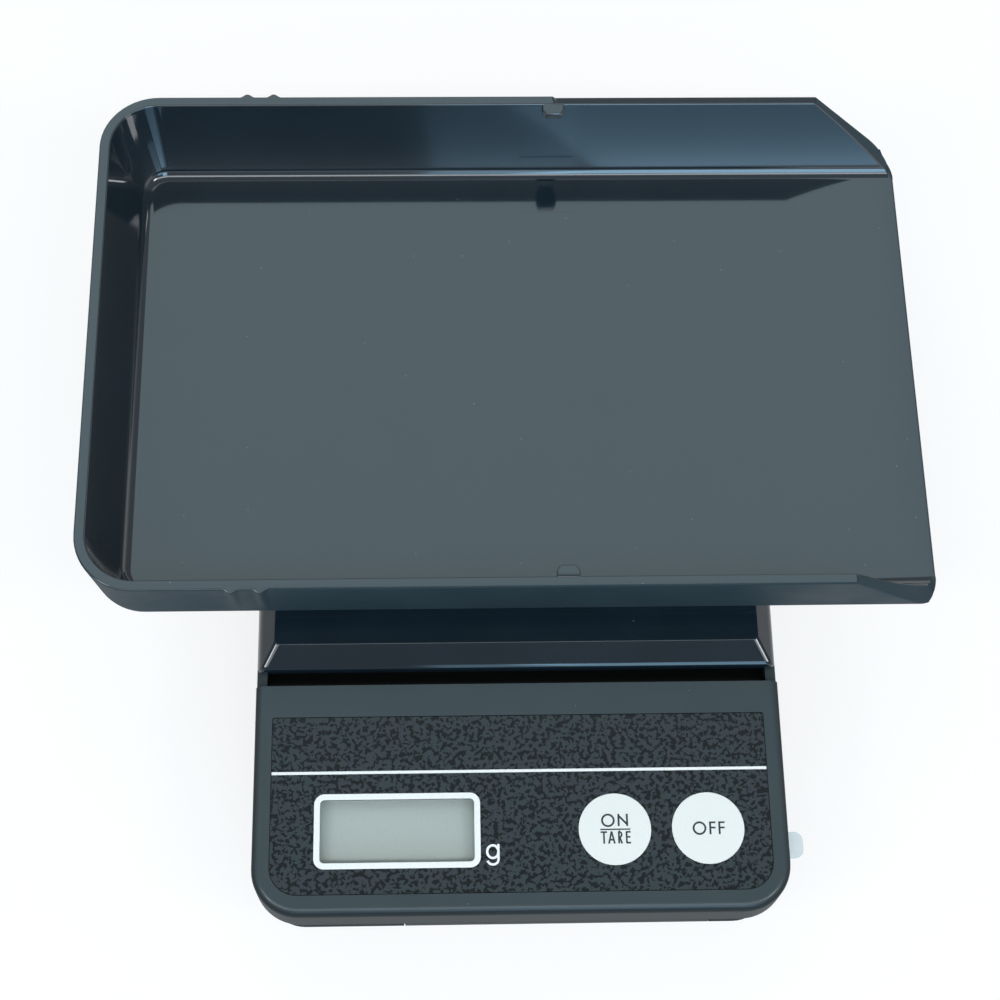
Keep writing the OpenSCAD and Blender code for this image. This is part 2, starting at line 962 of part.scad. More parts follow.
module platform() {
    color(platform_grey) {
        difference() {
            platform_outer();
            platform_hollow(skirt_t, skirt_z + 0.7);
            platform_hollow(skirt_t + 2.6, platform_under);
        }
        for (x = [-pin_x, pin_x], y = arm_spots)
            translate([x, y, 0]) {
                translate([0, 0, support_z - skim / 2])
                    cylinder(r = pin_r, h = support_t + skim);
                translate([0, 0, support_z - pin_head_t])
                    cylinder(r = pin_head_r, h = pin_head_t);
            }
    }
}

// Fasteners and feet

module housing_screws() {
    color(steel)
        for (spot = housing_screw_spots)
            translate([spot[0], spot[1], counterbore_top]) {
                translate([0, 0, -screw_head_t])
                    cylinder(r = screw_head_r, h = screw_head_t);
                cylinder(r = thread_r, h = screw_l);
            }
}

module foot(x, y) {
    color(rubber_black)
        translate([x, y, 0]) {
            translate([0, 0, foot_edge])
                cylinder(r = foot_r, h = base_z + foot_recess - foot_edge);
            cylinder(r1 = foot_r - foot_edge, r2 = foot_r, h = foot_edge);
        }
}

// Tray

// Leaning wall with a rounded foot: top_x is its place at the rim
module leaning_profile(top_x, low_z, fillet, rise) {
    foot_x = top_x - (tray_top - low_z) * tan(tray_draft);
    centre_x = foot_x + fillet * tan(tray_draft) - fillet / cos(tray_draft);
    centre_z = low_z + fillet;
    high_z = tray_top + rise;
    high_x = top_x + rise * tan(tray_draft);
    intersection() {
        union() {
            polygon([
                [0, low_z],
                [centre_x, low_z],
                [centre_x + fillet * cos(tray_draft), centre_z - fillet * sin(tray_draft)],
                [high_x, high_z],
                [0, high_z]
            ]);
            translate([centre_x, centre_z])
                circle(fillet);
        }
        translate([0, low_z])
            square([far, high_z - low_z]);
    }
}

module tray_form(top_x, low_z, fillet, rise) {
    w = tray_l + tray_past_end;
    translate([tray_left + w / 2, tray_y, 0]) {
        swept_round(w, tray_w, tray_corner_r)
            leaning_profile(top_x, low_z, fillet, rise);
        translate([tray_corner_r - w / 2, tray_corner_r - tray_w / 2, low_z])
            cube([w - 2 * tray_corner_r, tray_w - 2 * tray_corner_r, tray_top + rise - low_z]);
    }
}

// What is cut away at the open end: a slope on the walls, then the lip with its round corners
module pouring_cut() {
    slope_start = tray_right - pour_setback;
    slope_end = slope_start + (tray_top - tray_floor) / tan(pour_slope);
    translate([0, tray_y, 0])
        rotate([90, 0, 0])
            linear_extrude(height = far, center = true)
                polygon([
                    [slope_start - 1 / tan(pour_slope), tray_top + 1],
                    [slope_end, tray_floor],
                    [tray_right, tray_floor],
                    [far, tray_floor],
                    [far, tray_top + 1]
                ]);
    translate([0, tray_y, tray_z - 1])
        linear_extrude(height = tray_h + 2)
            difference() {
                translate([slope_start, -far / 2])
                    square([far, far]);
                translate([tray_right - tray_l / 2, 0])
                    rounded_plan(tray_l, tray_w + slip, lip_corner_r);
            }
}

// Walls' outside rib, leaning with the wall it stands on
module tray_rib(x) {
    intersection() {
        translate([x, tray_w / 2, tray_top])
            rotate([-tray_draft, 0, 0])
                translate([0, 0, tray_outer_fillet - tray_h])
                    cylinder(r = rib_r, h = tray_h);
        translate([-far, 0, 0])
            cube([2 * far, far, tray_top]);
    }
}

module tray_nub() {
    root = tray_w / 2 - tray_rim / 2;
    tip = tray_w / 2 - tray_rim - nub_depth;
    translate([nub_x, 0, tray_top - nub_t])
        linear_extrude(height = nub_t)
            polygon([
                [-nub_root / 2, root],
                [nub_root / 2, root],
                [nub_root / 2, tip + 1],
                [nub_tip / 2, tip],
                [-nub_tip / 2, tip],
                [-nub_root / 2, tip + 1]
            ]);
}

module tray() {
    color(tray_grey)
        difference() {
            union() {
                difference() {
                    union() {
                        tray_form(tray_corner_r, tray_z, tray_outer_fillet, 0);
                        for (side = [0, 1], x = rib_spots)
                            translate([0, tray_y, 0])
                                mirror([0, side, 0])
                                    tray_rib(x);
                    }
                    tray_form(tray_corner_r - tray_rim, tray_floor, tray_inner_fillet, 1);
                }
                for (side = [0, 1])
                    translate([0, tray_y, 0])
                        mirror([0, side, 0])
                            tray_nub();
            }
            pouring_cut();
        }
}

upper_housing();
lower_housing();
battery_door();
panel_overlay();
panel_print();
display_lens();
display_glass();
zebra(-1);  // zebra_front
zebra(1);  // zebra_rear
circuit_board();
processor_blob();
board_parts();
key_switch(-1);  // tare_switch
key_switch(1);  // off_switch
key(-1);  // tare_key
key(1);  // off_key
battery(battery_front_y, 0);  // battery_front
battery(battery_rear_y, 180);  // battery_rear
battery_spring(battery_front_y, 0);  // battery_spring_front
battery_spring(battery_rear_y, 180);  // battery_spring_rear
contact_bridge();
contact_with_leaf(battery_front_y, leaf_y, front_leaf_z);  // contact_front
contact_with_leaf(battery_rear_y, battery_rear_y, rear_leaf_z);  // contact_rear
pull_tab();
load_cell();
strain_gauges();
cell_spacer(beam_screws_low, beam_front, floor_z);  // cell_spacer_low
cell_screws_low();
cell_spacer(beam_screws_top, beam_back - spacer_l, beam_top);  // cell_spacer_top
cell_screws_top();
overload_screw();
cell_wires();
platform_support();
platform();
housing_screws();
foot(-foot_x, foot_front_y);  // foot_front_left
foot(foot_x, foot_front_y);  // foot_front_right
foot(-foot_x, foot_rear_y);  // foot_rear_left
foot(foot_x, foot_rear_y);  // foot_rear_right
tray();
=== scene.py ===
"""Pocket scale: its finishes, its finely modelled pieces, the camera and the lights."""

from __future__ import annotations

import logging
import math
from collections.abc import Callable
from dataclasses import dataclass, field
from enum import Enum

import bmesh
import bpy
from mathutils import Matrix, Vector
from mathutils.geometry import delaunay_2d_cdt

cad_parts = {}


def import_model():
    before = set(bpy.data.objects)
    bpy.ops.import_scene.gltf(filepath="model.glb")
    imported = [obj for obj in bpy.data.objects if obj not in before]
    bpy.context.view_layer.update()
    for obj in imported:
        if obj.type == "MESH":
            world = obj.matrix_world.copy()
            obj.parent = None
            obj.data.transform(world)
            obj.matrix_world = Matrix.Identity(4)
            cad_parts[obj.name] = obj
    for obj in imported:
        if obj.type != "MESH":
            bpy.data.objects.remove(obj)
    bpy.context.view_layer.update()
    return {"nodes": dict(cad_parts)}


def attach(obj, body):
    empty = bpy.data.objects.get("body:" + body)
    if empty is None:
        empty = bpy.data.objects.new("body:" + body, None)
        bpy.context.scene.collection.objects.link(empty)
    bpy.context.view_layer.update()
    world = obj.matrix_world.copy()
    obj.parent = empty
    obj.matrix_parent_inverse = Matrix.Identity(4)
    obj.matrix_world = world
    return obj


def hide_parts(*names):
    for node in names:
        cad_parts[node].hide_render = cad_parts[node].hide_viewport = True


MM = 0.001
# In millimetres: corners this close are one corner of a lofted piece.
WELD = 0.0005
# In millimetres: what is narrower is closed up after a cut, and after edges are rounded.
SLIVER = 0.06
CREASE = 0.02
# In degrees: faces that turn less lie in one plane, and edges that turn more are shaded sharp.
FLAT_TURN = 0.05
SHARP_TURN = 35.0
# Edges that turn more than this, in degrees, get a rounding of so many strips.
EDGE_TURN = 30.0
EDGE_STRIPS = 3
# How much a large face counts for the shading beside it, from 1 to 100.
NORMAL_WEIGHT = 80
# Two places of a print closer than this are one.
SAME = 1e-6
# The Mix node's sockets for its two colours, and for the colour that it gives.
COLOUR_A, COLOUR_B, MIXED = 6, 7, 2
# Between these two lies most of what a noise texture gives.
NOISE_SPAN = (0.3, 0.7)
log = logging.getLogger("pocket_scale")

Point = tuple[float, float]
Place = tuple[float, float, float]
Tree = bpy.types.NodeTree
Link = bpy.types.NodeSocket
Material = bpy.types.Material
Piece = bpy.types.Object


class Body(Enum):
    """The frame's bodies that something made here rides on, by name."""

    HOUSING = "housing"
    PLATFORM = "platform"
    TRAY = "tray"
    TARE_KEY = "tare_key"
    OFF_KEY = "off_key"


class Look(Enum):
    """The finishes, by what has them."""

    HOUSING = "housing"
    PLATFORM = "platform"
    TRAY = "tray"
    TRAY_OUTSIDE = "tray_outside"
    TUB = "tub"
    FILM = "film"
    INK = "ink"
    KEY = "key"
    LEGEND = "legend"
    LENS = "lens"
    DISPLAY = "display"
    SILICONE = "silicone"
    BOARD = "board"
    EPOXY = "epoxy"
    CERAMIC = "ceramic"
    NYLON = "nylon"
    JACKET = "jacket"
    GAUGE = "gauge"
    WIRE = "wire"
    SPRING = "spring"
    BEAM = "beam"
    SCREW = "screw"
    TAB = "tab"
    SUPPORT = "support"
    RUBBER = "rubber"


def linear(hex_colour: str) -> tuple[float, float, float, float]:
    """Turns an sRGB hex colour into linear light.

    Args:
        hex_colour: Six hex digits with a leading hash.

    Returns:
        Red, green, blue and an alpha of one.
    """
    parts = [int(hex_colour[i : i + 2], 16) / 255 for i in (1, 3, 5)]
    lit = [c / 12.92 if c <= 0.04045 else ((c + 0.055) / 1.055) ** 2.4 for c in parts]
    return (lit[0], lit[1], lit[2], 1.0)


def add_node(tree: Tree, kind: str, inputs: dict | None = None, **settings: object) -> bpy.types.Node:
    """Adds a node with its settings and links.

    Args:
        tree: The node tree that it joins.
        kind: The node's type name.
        inputs: Socket name or index to a value, or to the output that feeds it.
        settings: The node's own attributes.

    Returns:
        The new node.
    """
    node = tree.nodes.new(kind)
    for key, value in settings.items():
        setattr(node, key, value)
    for key, value in (inputs or {}).items():
        if isinstance(value, Link):
            tree.links.new(value, node.inputs[key])
        else:
            node.inputs[key].default_value = value
    return node


def new_material(name: str) -> Material:
    """Makes an empty node material.

    Args:
        name: What the finish is.

    Returns:
        The new material.
    """
    material = bpy.data.materials.new(name)
    material.use_nodes = True
    material.node_tree.nodes.clear()
    return material


def per_metre(size_mm: float) -> float:
    """Tells how many grains of a size fit in a metre."""
    return 1 / (size_mm * MM)


def spread(value: Link, incoming: Point, outgoing: Point = (0.0, 1.0)) -> dict[str, Link | float]:
    """Lists the values of a Map Range node's sockets.

    Args:
        value: What comes in.
        incoming: The two ends of the range that comes in.
        outgoing: What these two ends become.

    Returns:
        Each socket's name and value.
    """
    return {
        "Value": value,
        "From Min": incoming[0],
        "From Max": incoming[1],
        "To Min": outgoing[0],
        "To Max": outgoing[1],
    }


def arc(centre: Point, radii: Point, start: float, end: float, steps: int) -> list[Point]:
    """Lists points along an arc of a circle or an ellipse.

    Args:
        centre: Its centre.
        radii: Its two radii.
        start: The first angle, in degrees.
        end: The last angle, in degrees.
        steps: How many chords it has.

    Returns:
        The points, both ends included.
    """
    angles = [math.radians(start + (end - start) * k / steps) for k in range(steps + 1)]
    return [(centre[0] + radii[0] * math.cos(a), centre[1] + radii[1] * math.sin(a)) for a in angles]


def new_piece(name: str, points: list[Place], faces: list[list[int]]) -> Piece:
    """Makes an object with its faces turned outwards.

    Args:
        name: Its name.
        points: Its corners, in millimetres.
        faces: Its faces, as lists of corner numbers.

    Returns:
        The new object.
    """
    mesh = bpy.data.meshes.new(name)
    mesh.from_pydata([Vector(p) * MM for p in points], [], faces)
    shape = bmesh.new()
    shape.from_mesh(mesh)
    bmesh.ops.remove_doubles(shape, verts=shape.verts, dist=WELD * MM)
    bmesh.ops.recalc_face_normals(shape, faces=shape.faces)
    shape.to_mesh(mesh)
    shape.free()
    piece = bpy.data.objects.new(name, mesh)
    bpy.context.scene.collection.objects.link(piece)
    return piece


def loft(name: str, rings: list[list[Place]], closed: bool) -> Piece:
    """Makes a solid through rings of the same number of points, with its two ends filled.

    Args:
        name: The solid's name.
        rings: The rings, in millimetres.
        closed: True where each ring runs full circle; else its two ends are joined by a flat wall.

    Returns:
        The new object.
    """
    count = len(rings[0])
    points = [p for ring in rings for p in ring]
    faces = []
    for i in range(len(rings) - 1):
        for j in range(count if closed else count - 1):
            k = (j + 1) % count
            faces.append([i * count + j, i * count + k, (i + 1) * count + k, (i + 1) * count + j])
    faces.append(list(range(count)))
    faces.append([(len(rings) - 1) * count + j for j in range(count)])
    if not closed:
        near = [i * count for i in range(len(rings))]
        far = [i * count + count - 1 for i in range(len(rings))]
        faces.append(near + far[::-1])
    return new_piece(name, points, faces)


def bake_modifiers(piece: Piece) -> None:
    """Makes what the modifiers give the piece's own mesh.

    Args:
        piece: The piece.
    """
    graph = bpy.context.evaluated_depsgraph_get()
    made = bpy.data.meshes.new_from_object(piece.evaluated_get(graph))
    old = piece.data
    piece.modifiers.clear()
    piece.data = made
    bpy.data.meshes.remove(old)


def clear_flats(piece: Piece) -> None:
    """Joins the faces that lie in one plane and drops the points along straight edges.

    Args:
        piece: The piece.
    """
    shape = bmesh.new()
    shape.from_mesh(piece.data)
    turn = math.radians(FLAT_TURN)
    bmesh.ops.dissolve_limit(shape, angle_limit=turn, verts=shape.verts, edges=shape.edges)
    shape.to_mesh(piece.data)
    shape.free()


def close_up(shape: bmesh.types.BMesh, width: float) -> None:
    """Closes the slivers of a mesh that are narrower than a width, in millimetres."""
    bmesh.ops.remove_doubles(shape, verts=shape.verts, dist=width * MM)
    bmesh.ops.dissolve_degenerate(shape, edges=shape.edges, dist=width * MM)


def cut_away(piece: Piece, cutter: Piece) -> None:
    """Cuts one solid out of a piece and removes the cutter.

    Args:
        piece: The piece.
        cutter: The solid that is cut out of it.
    """
    cut = piece.modifiers.new("cut", "BOOLEAN")
    cut.operation = "DIFFERENCE"
    cut.solver = "EXACT"
    cut.object = cutter
    bake_modifiers(piece)
    shape = bmesh.new()
    shape.from_mesh(piece.data)
    close_up(shape, SLIVER)
    shape.to_mesh(piece.data)
    shape.free()
    mesh = cutter.data
    bpy.data.objects.remove(cutter)
    bpy.data.meshes.remove(mesh)


def ease_edges(
    piece: Piece, width: float, skip: Callable[[Vector], bool] = lambda middle: False
) -> None:
    """Rounds the sharp edges of a moulded piece and smooths its shading.

    Args:
        piece: The piece.
        width: How wide the rounding is, in millimetres; with zero only the shading changes.
        skip: Tells by an edge's middle, in millimetres, that it stays sharp.
    """
    if width:
        shape = bmesh.new()
        shape.from_mesh(piece.data)
        turn = math.radians(EDGE_TURN)
        sharp = []
        for edge in shape.edges:
            middle = (edge.verts[0].co + edge.verts[1].co) / 2 / MM
            if edge.calc_face_angle(0.0) > turn and not skip(middle):
                sharp.append(edge)
        bmesh.ops.bevel(
            shape,
            geom=sharp,
            offset=width * MM,
            offset_type="OFFSET",
            segments=EDGE_STRIPS,
            profile=0.5,
            affect="EDGES",
            clamp_overlap=False,
        )
        close_up(shape, CREASE)
        shape.to_mesh(piece.data)
        shape.free()
    piece.data.shade_smooth()
    piece.data.set_sharp_from_angle(angle=math.radians(SHARP_TURN))
    normals = piece.modifiers.new("weighted normals", "WEIGHTED_NORMAL")
    normals.keep_sharp = True
    normals.weight = NORMAL_WEIGHT


@dataclass(frozen=True)
class MouldedAbs:
    """Injection-moulded ABS: a polished tool gives a clear reflection, a blasted one a soft sheen.

    The reflection wavers a little over the sink of the walls, and a few pale dust specks lie on the tops.
    Sides that are duller than the tops have a shader of their own, in a darker colour that is painted shade.
    The floor of a hollow, below a given height, is painted nearly black as painted shade.
    """

    name: str
    colour: str
    haze: str
    roughness: float = 0.1
    ior: float = 1.52
    specular: float = 0.5
    lacquer: float = 0.0
    lacquer_roughness: float = 0.04
    lacquer_ior: float = 1.5
    haze_mm: float = 11.0
    haze_span: Point = (0.3, 0.75)
    dulling: Point = (0.85, 1.2)
    ripple_mm: float = 16.0
    ripple_depth_mm: float = 0.012
    # The tool's grain is finer than 0.1 mm, too fine to show in the render, and is drawn at 0.25 mm.
    grain_mm: float = 0.25
    grain_depth_mm: float = 0.0004
    # Dust is finer than 0.1 mm too, and each speck is drawn 0.18 mm wide.
    speck_mm: float = 0.09
    speck_cell_mm: float = 9.0
    speck_share: float = 0.3
    speck_turn: Point = (0.9, 0.98)
    dust: str = "#a9b4b6"
    side_roughness: float = 0.0
    side_specular: float = 0.12
    # The upright sides' darker colour is painted shade.
    side_painted_shade_colour: str = "#20282b"
    side_turn: Point = (0.7, 0.985)
    # Below this height, in millimetres, upward faces are painted nearly black: painted shade in a hollow;
    # zero paints none.
    painted_shade_below_mm: float = 0.0
    painted_shade_fade_mm: float = 1.5
    painted_shade_turn: Point = (0.3, 0.6)
    painted_shade_colour: str = "#050606"

    def specks(self, tree: Tree, where: Link, upright: Link) -> Link:
        """Gives one on the dust specks and nothing between them.

        Args:
            tree: The node tree.
            where: The coordinates, in metres.
            upright: The upward part of the surface's normal.

        Returns:
            The specks' factor.
        """
        plan = {0: where, 1: (1.0, 1.0, 0.0)}
        flat = add_node(tree, "ShaderNodeVectorMath", plan, operation="MULTIPLY").outputs[0]
        cells = {"Vector": flat, "Scale": per_metre(self.speck_cell_mm)}
        dust = add_node(tree, "ShaderNodeTexVoronoi", cells, voronoi_dimensions="2D").outputs
        edge = spread(dust["Distance"], (0.0, self.speck_mm / self.speck_cell_mm), (1.0, 0.0))
        near = add_node(tree, "ShaderNodeMapRange", edge).outputs["Result"]
        lot = add_node(tree, "ShaderNodeSeparateColor", {"Color": dust["Color"]}).outputs["Red"]
        few = {0: lot, 1: self.speck_share}
        chosen = add_node(tree, "ShaderNodeMath", few, operation="LESS_THAN").outputs[0]
        lying = add_node(tree, "ShaderNodeMapRange", spread(upright, self.speck_turn)).outputs["Result"]
        some = add_node(tree, "ShaderNodeMath", {0: near, 1: chosen}, operation="MULTIPLY").outputs[0]
        return add_node(tree, "ShaderNodeMath", {0: some, 1: lying}, operation="MULTIPLY").outputs[0]

    def tint(self, tree: Tree, where: Link, haze: Link, upright: Link) -> Link:
        """Gives the plastic's colour, with its haze, its dust and the painted shade of a hollow's floor.

        Args:
            tree: The node tree.
            where: The coordinates, in metres.
            haze: The haze's noise.
            upright: The upward part of the surface's normal.

        Returns:
            The colour.
        """
        share = add_node(tree, "ShaderNodeMapRange", spread(haze, self.haze_span)).outputs["Result"]
        pair = {0: share, COLOUR_A: linear(self.colour), COLOUR_B: linear(self.haze)}
        tinted = add_node(tree, "ShaderNodeMix", pair, data_type="RGBA").outputs[MIXED]
        pair = {0: self.specks(tree, where, upright), COLOUR_A: tinted, COLOUR_B: linear(self.dust)}
        dusted = add_node(tree, "ShaderNodeMix", pair, data_type="RGBA").outputs[MIXED]
        # Upward faces low down are painted nearly black: painted shade in the hollow under the platform.
        if not self.painted_shade_below_mm:
            return dusted
        height = add_node(tree, "ShaderNodeSeparateXYZ", {0: where}).outputs["Z"]
        fade = (self.painted_shade_below_mm * MM, (self.painted_shade_below_mm + self.painted_shade_fade_mm) * MM)
        deep = add_node(tree, "ShaderNodeMapRange", spread(height, fade, (1.0, 0.0))).outputs["Result"]
        upward = add_node(tree, "ShaderNodeMapRange", spread(upright, self.painted_shade_turn)).outputs["Result"]
        both = add_node(tree, "ShaderNodeMath", {0: deep, 1: upward}, operation="MULTIPLY").outputs[0]
        pair = {0: both, COLOUR_A: dusted, COLOUR_B: linear(self.painted_shade_colour)}
        return add_node(tree, "ShaderNodeMix", pair, data_type="RGBA").outputs[MIXED]

    def relief(self, tree: Tree, where: Link) -> Link:
        """Gives the surface's normal: the slow waver of the walls under the tool's fine grain.

        Args:
            tree: The node tree.
            where: The coordinates, in metres.

        Returns:
            The normal.
        """
        waver = {"Vector": where, "Scale": per_metre(self.ripple_mm), "Detail": 1.0}
        height = add_node(tree, "ShaderNodeTexNoise", waver).outputs["Fac"]
        bump = {"Height": height, "Distance": self.ripple_depth_mm * MM, "Strength": 1.0}
        ripple = add_node(tree, "ShaderNodeBump", bump).outputs["Normal"]
        fine = {"Vector": where, "Scale": per_metre(self.grain_mm), "Detail": 2.0}
        height = add_node(tree, "ShaderNodeTexNoise", fine).outputs["Fac"]
        bump = {"Height": height, "Distance": self.grain_depth_mm * MM, "Strength": 1.0, "Normal": ripple}
        return add_node(tree, "ShaderNodeBump", bump).outputs["Normal"]

    def shine(
        self, colour: Link | tuple, roughness: Link | float, specular: float, normal: Link
    ) -> dict[str, Link | tuple | float]:
        """Lists the values of a Principled shader's sockets for the plastic.

        Args:
            colour: The plastic's colour.
            roughness: How dull the reflection is.
            specular: The reflection's level.
            normal: The surface's normal, with its grain.

        Returns:
            Each socket's name and value.
        """
        return {
            "Base Color": colour,
            "Roughness": roughness,
            "IOR": self.ior,
            "Specular IOR Level": specular,
            "Coat Weight": self.lacquer,
            "Coat Roughness": self.lacquer_roughness,
            "Coat IOR": self.lacquer_ior,
            "Normal": normal,
        }

    def build(self) -> Material:
        """Makes the material.

        Returns:
            The new material.
        """
        material = new_material(self.name)
        tree = material.node_tree
        where = add_node(tree, "ShaderNodeTexCoord").outputs["Object"]
        clouds = {"Vector": where, "Scale": per_metre(self.haze_mm), "Detail": 4.0}
        haze = add_node(tree, "ShaderNodeTexNoise", clouds).outputs["Fac"]
        facing = add_node(tree, "ShaderNodeNewGeometry").outputs["Normal"]
        upright = add_node(tree, "ShaderNodeSeparateXYZ", {0: facing}).outputs["Z"]
        colour = self.tint(tree, where, haze, upright)
        normal = self.relief(tree, where)
        rough = self.roughness
        if not self.side_roughness:
            ends = (self.roughness * self.dulling[0], self.roughness * self.dulling[1])
            rough = add_node(tree, "ShaderNodeMapRange", spread(haze, NOISE_SPAN, ends)).outputs["Result"]
        top = self.shine(colour, rough, self.specular, normal)
        shader = add_node(tree, "ShaderNodeBsdfPrincipled", top).outputs["BSDF"]
        # The upright sides get a duller reflection, and a darker colour that is painted shade.
        if self.side_roughness:
            side = self.shine(linear(self.side_painted_shade_colour), self.side_roughness, self.side_specular, normal)
            dull = add_node(tree, "ShaderNodeBsdfPrincipled", side).outputs["BSDF"]
            share = add_node(tree, "ShaderNodeMapRange", spread(upright, self.side_turn)).outputs["Result"]
            shader = add_node(tree, "ShaderNodeMixShader", {0: share, 1: dull, 2: shader}).outputs["Shader"]
        add_node(tree, "ShaderNodeOutputMaterial", {"Surface": shader})
        return material


@dataclass(frozen=True)
class SpeckledFilm:
    """Printed polycarbonate film, ink under a smooth face: dark worm-like flecks 0.4 mm wide on slate."""

    name: str = "speckled polycarbonate film"
    ground: str = "#353f41"
    ground_other: str = "#373d41"
    fleck: str = "#12191b"
    fleck_mm: float = 0.72
    fleck_edge: Point = (0.505, 0.54)
    bend_mm: float = 1.1
    bend: float = 0.7
    tint_mm: float = 7.0
    tint_span: Point = (0.4, 0.6)
    # The film's own texture is finer than 0.05 mm, too fine to show in the render, and is drawn at 0.12 mm.
    texture_mm: float = 0.12
    texture_depth_mm: float = 0.0006
    roughness: float = 0.14
    ior: float = 1.5

    def bent(self, tree: Tree, where: Link) -> Link:
        """Moves the coordinates to and fro, so that the flecks bend like worms.

        Args:
            tree: The node tree.
            where: The coordinates, in metres.

        Returns:
            The moved coordinates.
        """
        waver = {"Vector": where, "Scale": per_metre(self.bend_mm), "Detail": 1.0}
        drift = add_node(tree, "ShaderNodeTexNoise", waver).outputs["Color"]
        half = {0: drift, 1: (0.5, 0.5, 0.5)}
        centred = add_node(tree, "ShaderNodeVectorMath", half, operation="SUBTRACT").outputs[0]
        reach = {0: centred, "Scale": self.bend * self.bend_mm * MM}
        scaled = add_node(tree, "ShaderNodeVectorMath", reach, operation="SCALE").outputs[0]
        return add_node(tree, "ShaderNodeVectorMath", {0: where, 1: scaled}, operation="ADD").outputs[0]

    def print_colour(self, tree: Tree, where: Link) -> Link:
        """Gives the colour of the print: flecks on a ground that drifts between two slates.

        Args:
            tree: The node tree.
            where: The coordinates, in metres.

        Returns:
            The colour.
        """
        scale = per_metre(self.fleck_mm)
        worms = {"Vector": self.bent(tree, where), "Scale": scale, "Detail": 1.6, "Roughness": 0.6}
        blots = add_node(tree, "ShaderNodeTexNoise", worms).outputs["Fac"]
        mask = add_node(tree, "ShaderNodeMapRange", spread(blots, self.fleck_edge)).outputs["Result"]
        clouds = {"Vector": where, "Scale": per_metre(self.tint_mm), "Detail": 2.0}
        tint = add_node(tree, "ShaderNodeTexNoise", clouds).outputs["Fac"]
        share = add_node(tree, "ShaderNodeMapRange", spread(tint, self.tint_span)).outputs["Result"]
        pair = {0: share, COLOUR_A: linear(self.ground), COLOUR_B: linear(self.ground_other)}
        ground = add_node(tree, "ShaderNodeMix", pair, data_type="RGBA").outputs[MIXED]
        pair = {0: mask, COLOUR_A: ground, COLOUR_B: linear(self.fleck)}
        return add_node(tree, "ShaderNodeMix", pair, data_type="RGBA").outputs[MIXED]

    def build(self) -> Material:
        """Makes the material.

        Returns:
            The new material.
        """
        material = new_material(self.name)
        tree = material.node_tree
        where = add_node(tree, "ShaderNodeTexCoord").outputs["Object"]
        colour = self.print_colour(tree, where)
        fine = {"Vector": where, "Scale": per_metre(self.texture_mm), "Detail": 1.0}
        height = add_node(tree, "ShaderNodeTexNoise", fine).outputs["Fac"]
        bump = {"Height": height, "Distance": self.texture_depth_mm * MM, "Strength": 1.0}
        normal = add_node(tree, "ShaderNodeBump", bump).outputs["Normal"]
        face = {"Base Color": colour, "Roughness": self.roughness, "IOR": self.ior, "Normal": normal}
        shader = add_node(tree, "ShaderNodeBsdfPrincipled", face).outputs["BSDF"]
        add_node(tree, "ShaderNodeOutputMaterial", {"Surface": shader})
        return material


@dataclass(frozen=True)
class PlainSurface:
    """A surface of one colour with a fine grain: ink, rubber, nylon, epoxy or plated metal."""

    name: str
    colour: str
    other: str
    roughness: float
    # Most real grains are finer than 0.1 mm, too fine to show in the render: none is drawn under 0.2 mm.
    grain_mm: float = 0.4
    depth_mm: float = 0.002
    metallic: float = 0.0
    ior: float = 1.5
    opacity: float = 1.0
    tint_span: Point = (0.35, 0.65)
    dulling: Point = (0.85, 1.15)

    def build(self) -> Material:
        """Makes the material.

        Returns:
            The new material.
        """
        material = new_material(self.name)
        tree = material.node_tree
        where = add_node(tree, "ShaderNodeTexCoord").outputs["Object"]
        fine = {"Vector": where, "Scale": per_metre(self.grain_mm), "Detail": 3.0}
        grain = add_node(tree, "ShaderNodeTexNoise", fine).outputs["Fac"]
        share = add_node(tree, "ShaderNodeMapRange", spread(grain, self.tint_span)).outputs["Result"]
        pair = {0: share, COLOUR_A: linear(self.colour), COLOUR_B: linear(self.other)}
        colour = add_node(tree, "ShaderNodeMix", pair, data_type="RGBA").outputs[MIXED]
        bump = {"Height": grain, "Distance": self.depth_mm * MM, "Strength": 1.0}
        normal = add_node(tree, "ShaderNodeBump", bump).outputs["Normal"]
        ends = (self.roughness * self.dulling[0], min(1.0, self.roughness * self.dulling[1]))
        rough = add_node(tree, "ShaderNodeMapRange", spread(grain, NOISE_SPAN, ends)).outputs["Result"]
        face = {
            "Base Color": colour,
            "Roughness": rough,
            "Metallic": self.metallic,
            "Normal": normal,
            "Alpha": self.opacity,
        }
        if not self.metallic:
            face["IOR"] = self.ior
        shader = add_node(tree, "ShaderNodeBsdfPrincipled", face).outputs["BSDF"]
        add_node(tree, "ShaderNodeOutputMaterial", {"Surface": shader})
        return material


@dataclass(frozen=True)
class ClearAcrylic:
    """Clear moulded acrylic: what lies under it shows through, with the room's faint reflection on top."""

    name: str = "clear acrylic"
    tint: str = "#fbfdfc"
    ior: float = 1.49
    roughness: float = 0.04

    def build(self) -> Material:
        """Makes the material; the back of each face has no reflection.

        Returns:
            The new material.
        """
        material = new_material(self.name)
        tree = material.node_tree
        clear = add_node(tree, "ShaderNodeBsdfTransparent", {"Color": linear(self.tint)}).outputs["BSDF"]
        gloss = add_node(tree, "ShaderNodeBsdfGlossy", {"Roughness": self.roughness}).outputs["BSDF"]
        mirrored = add_node(tree, "ShaderNodeFresnel", {"IOR": self.ior}).outputs["Fac"]
        inside = add_node(tree, "ShaderNodeNewGeometry").outputs["Backfacing"]
        share = add_node(tree, "ShaderNodeMix", {0: inside, 2: mirrored, 3: 0.0}).outputs[0]
        both = add_node(tree, "ShaderNodeMixShader", {0: share, 1: clear, 2: gloss}).outputs["Shader"]
        add_node(tree, "ShaderNodeOutputMaterial", {"Surface": both})
        return material


Finish = MouldedAbs | SpeckledFilm | PlainSurface | ClearAcrylic


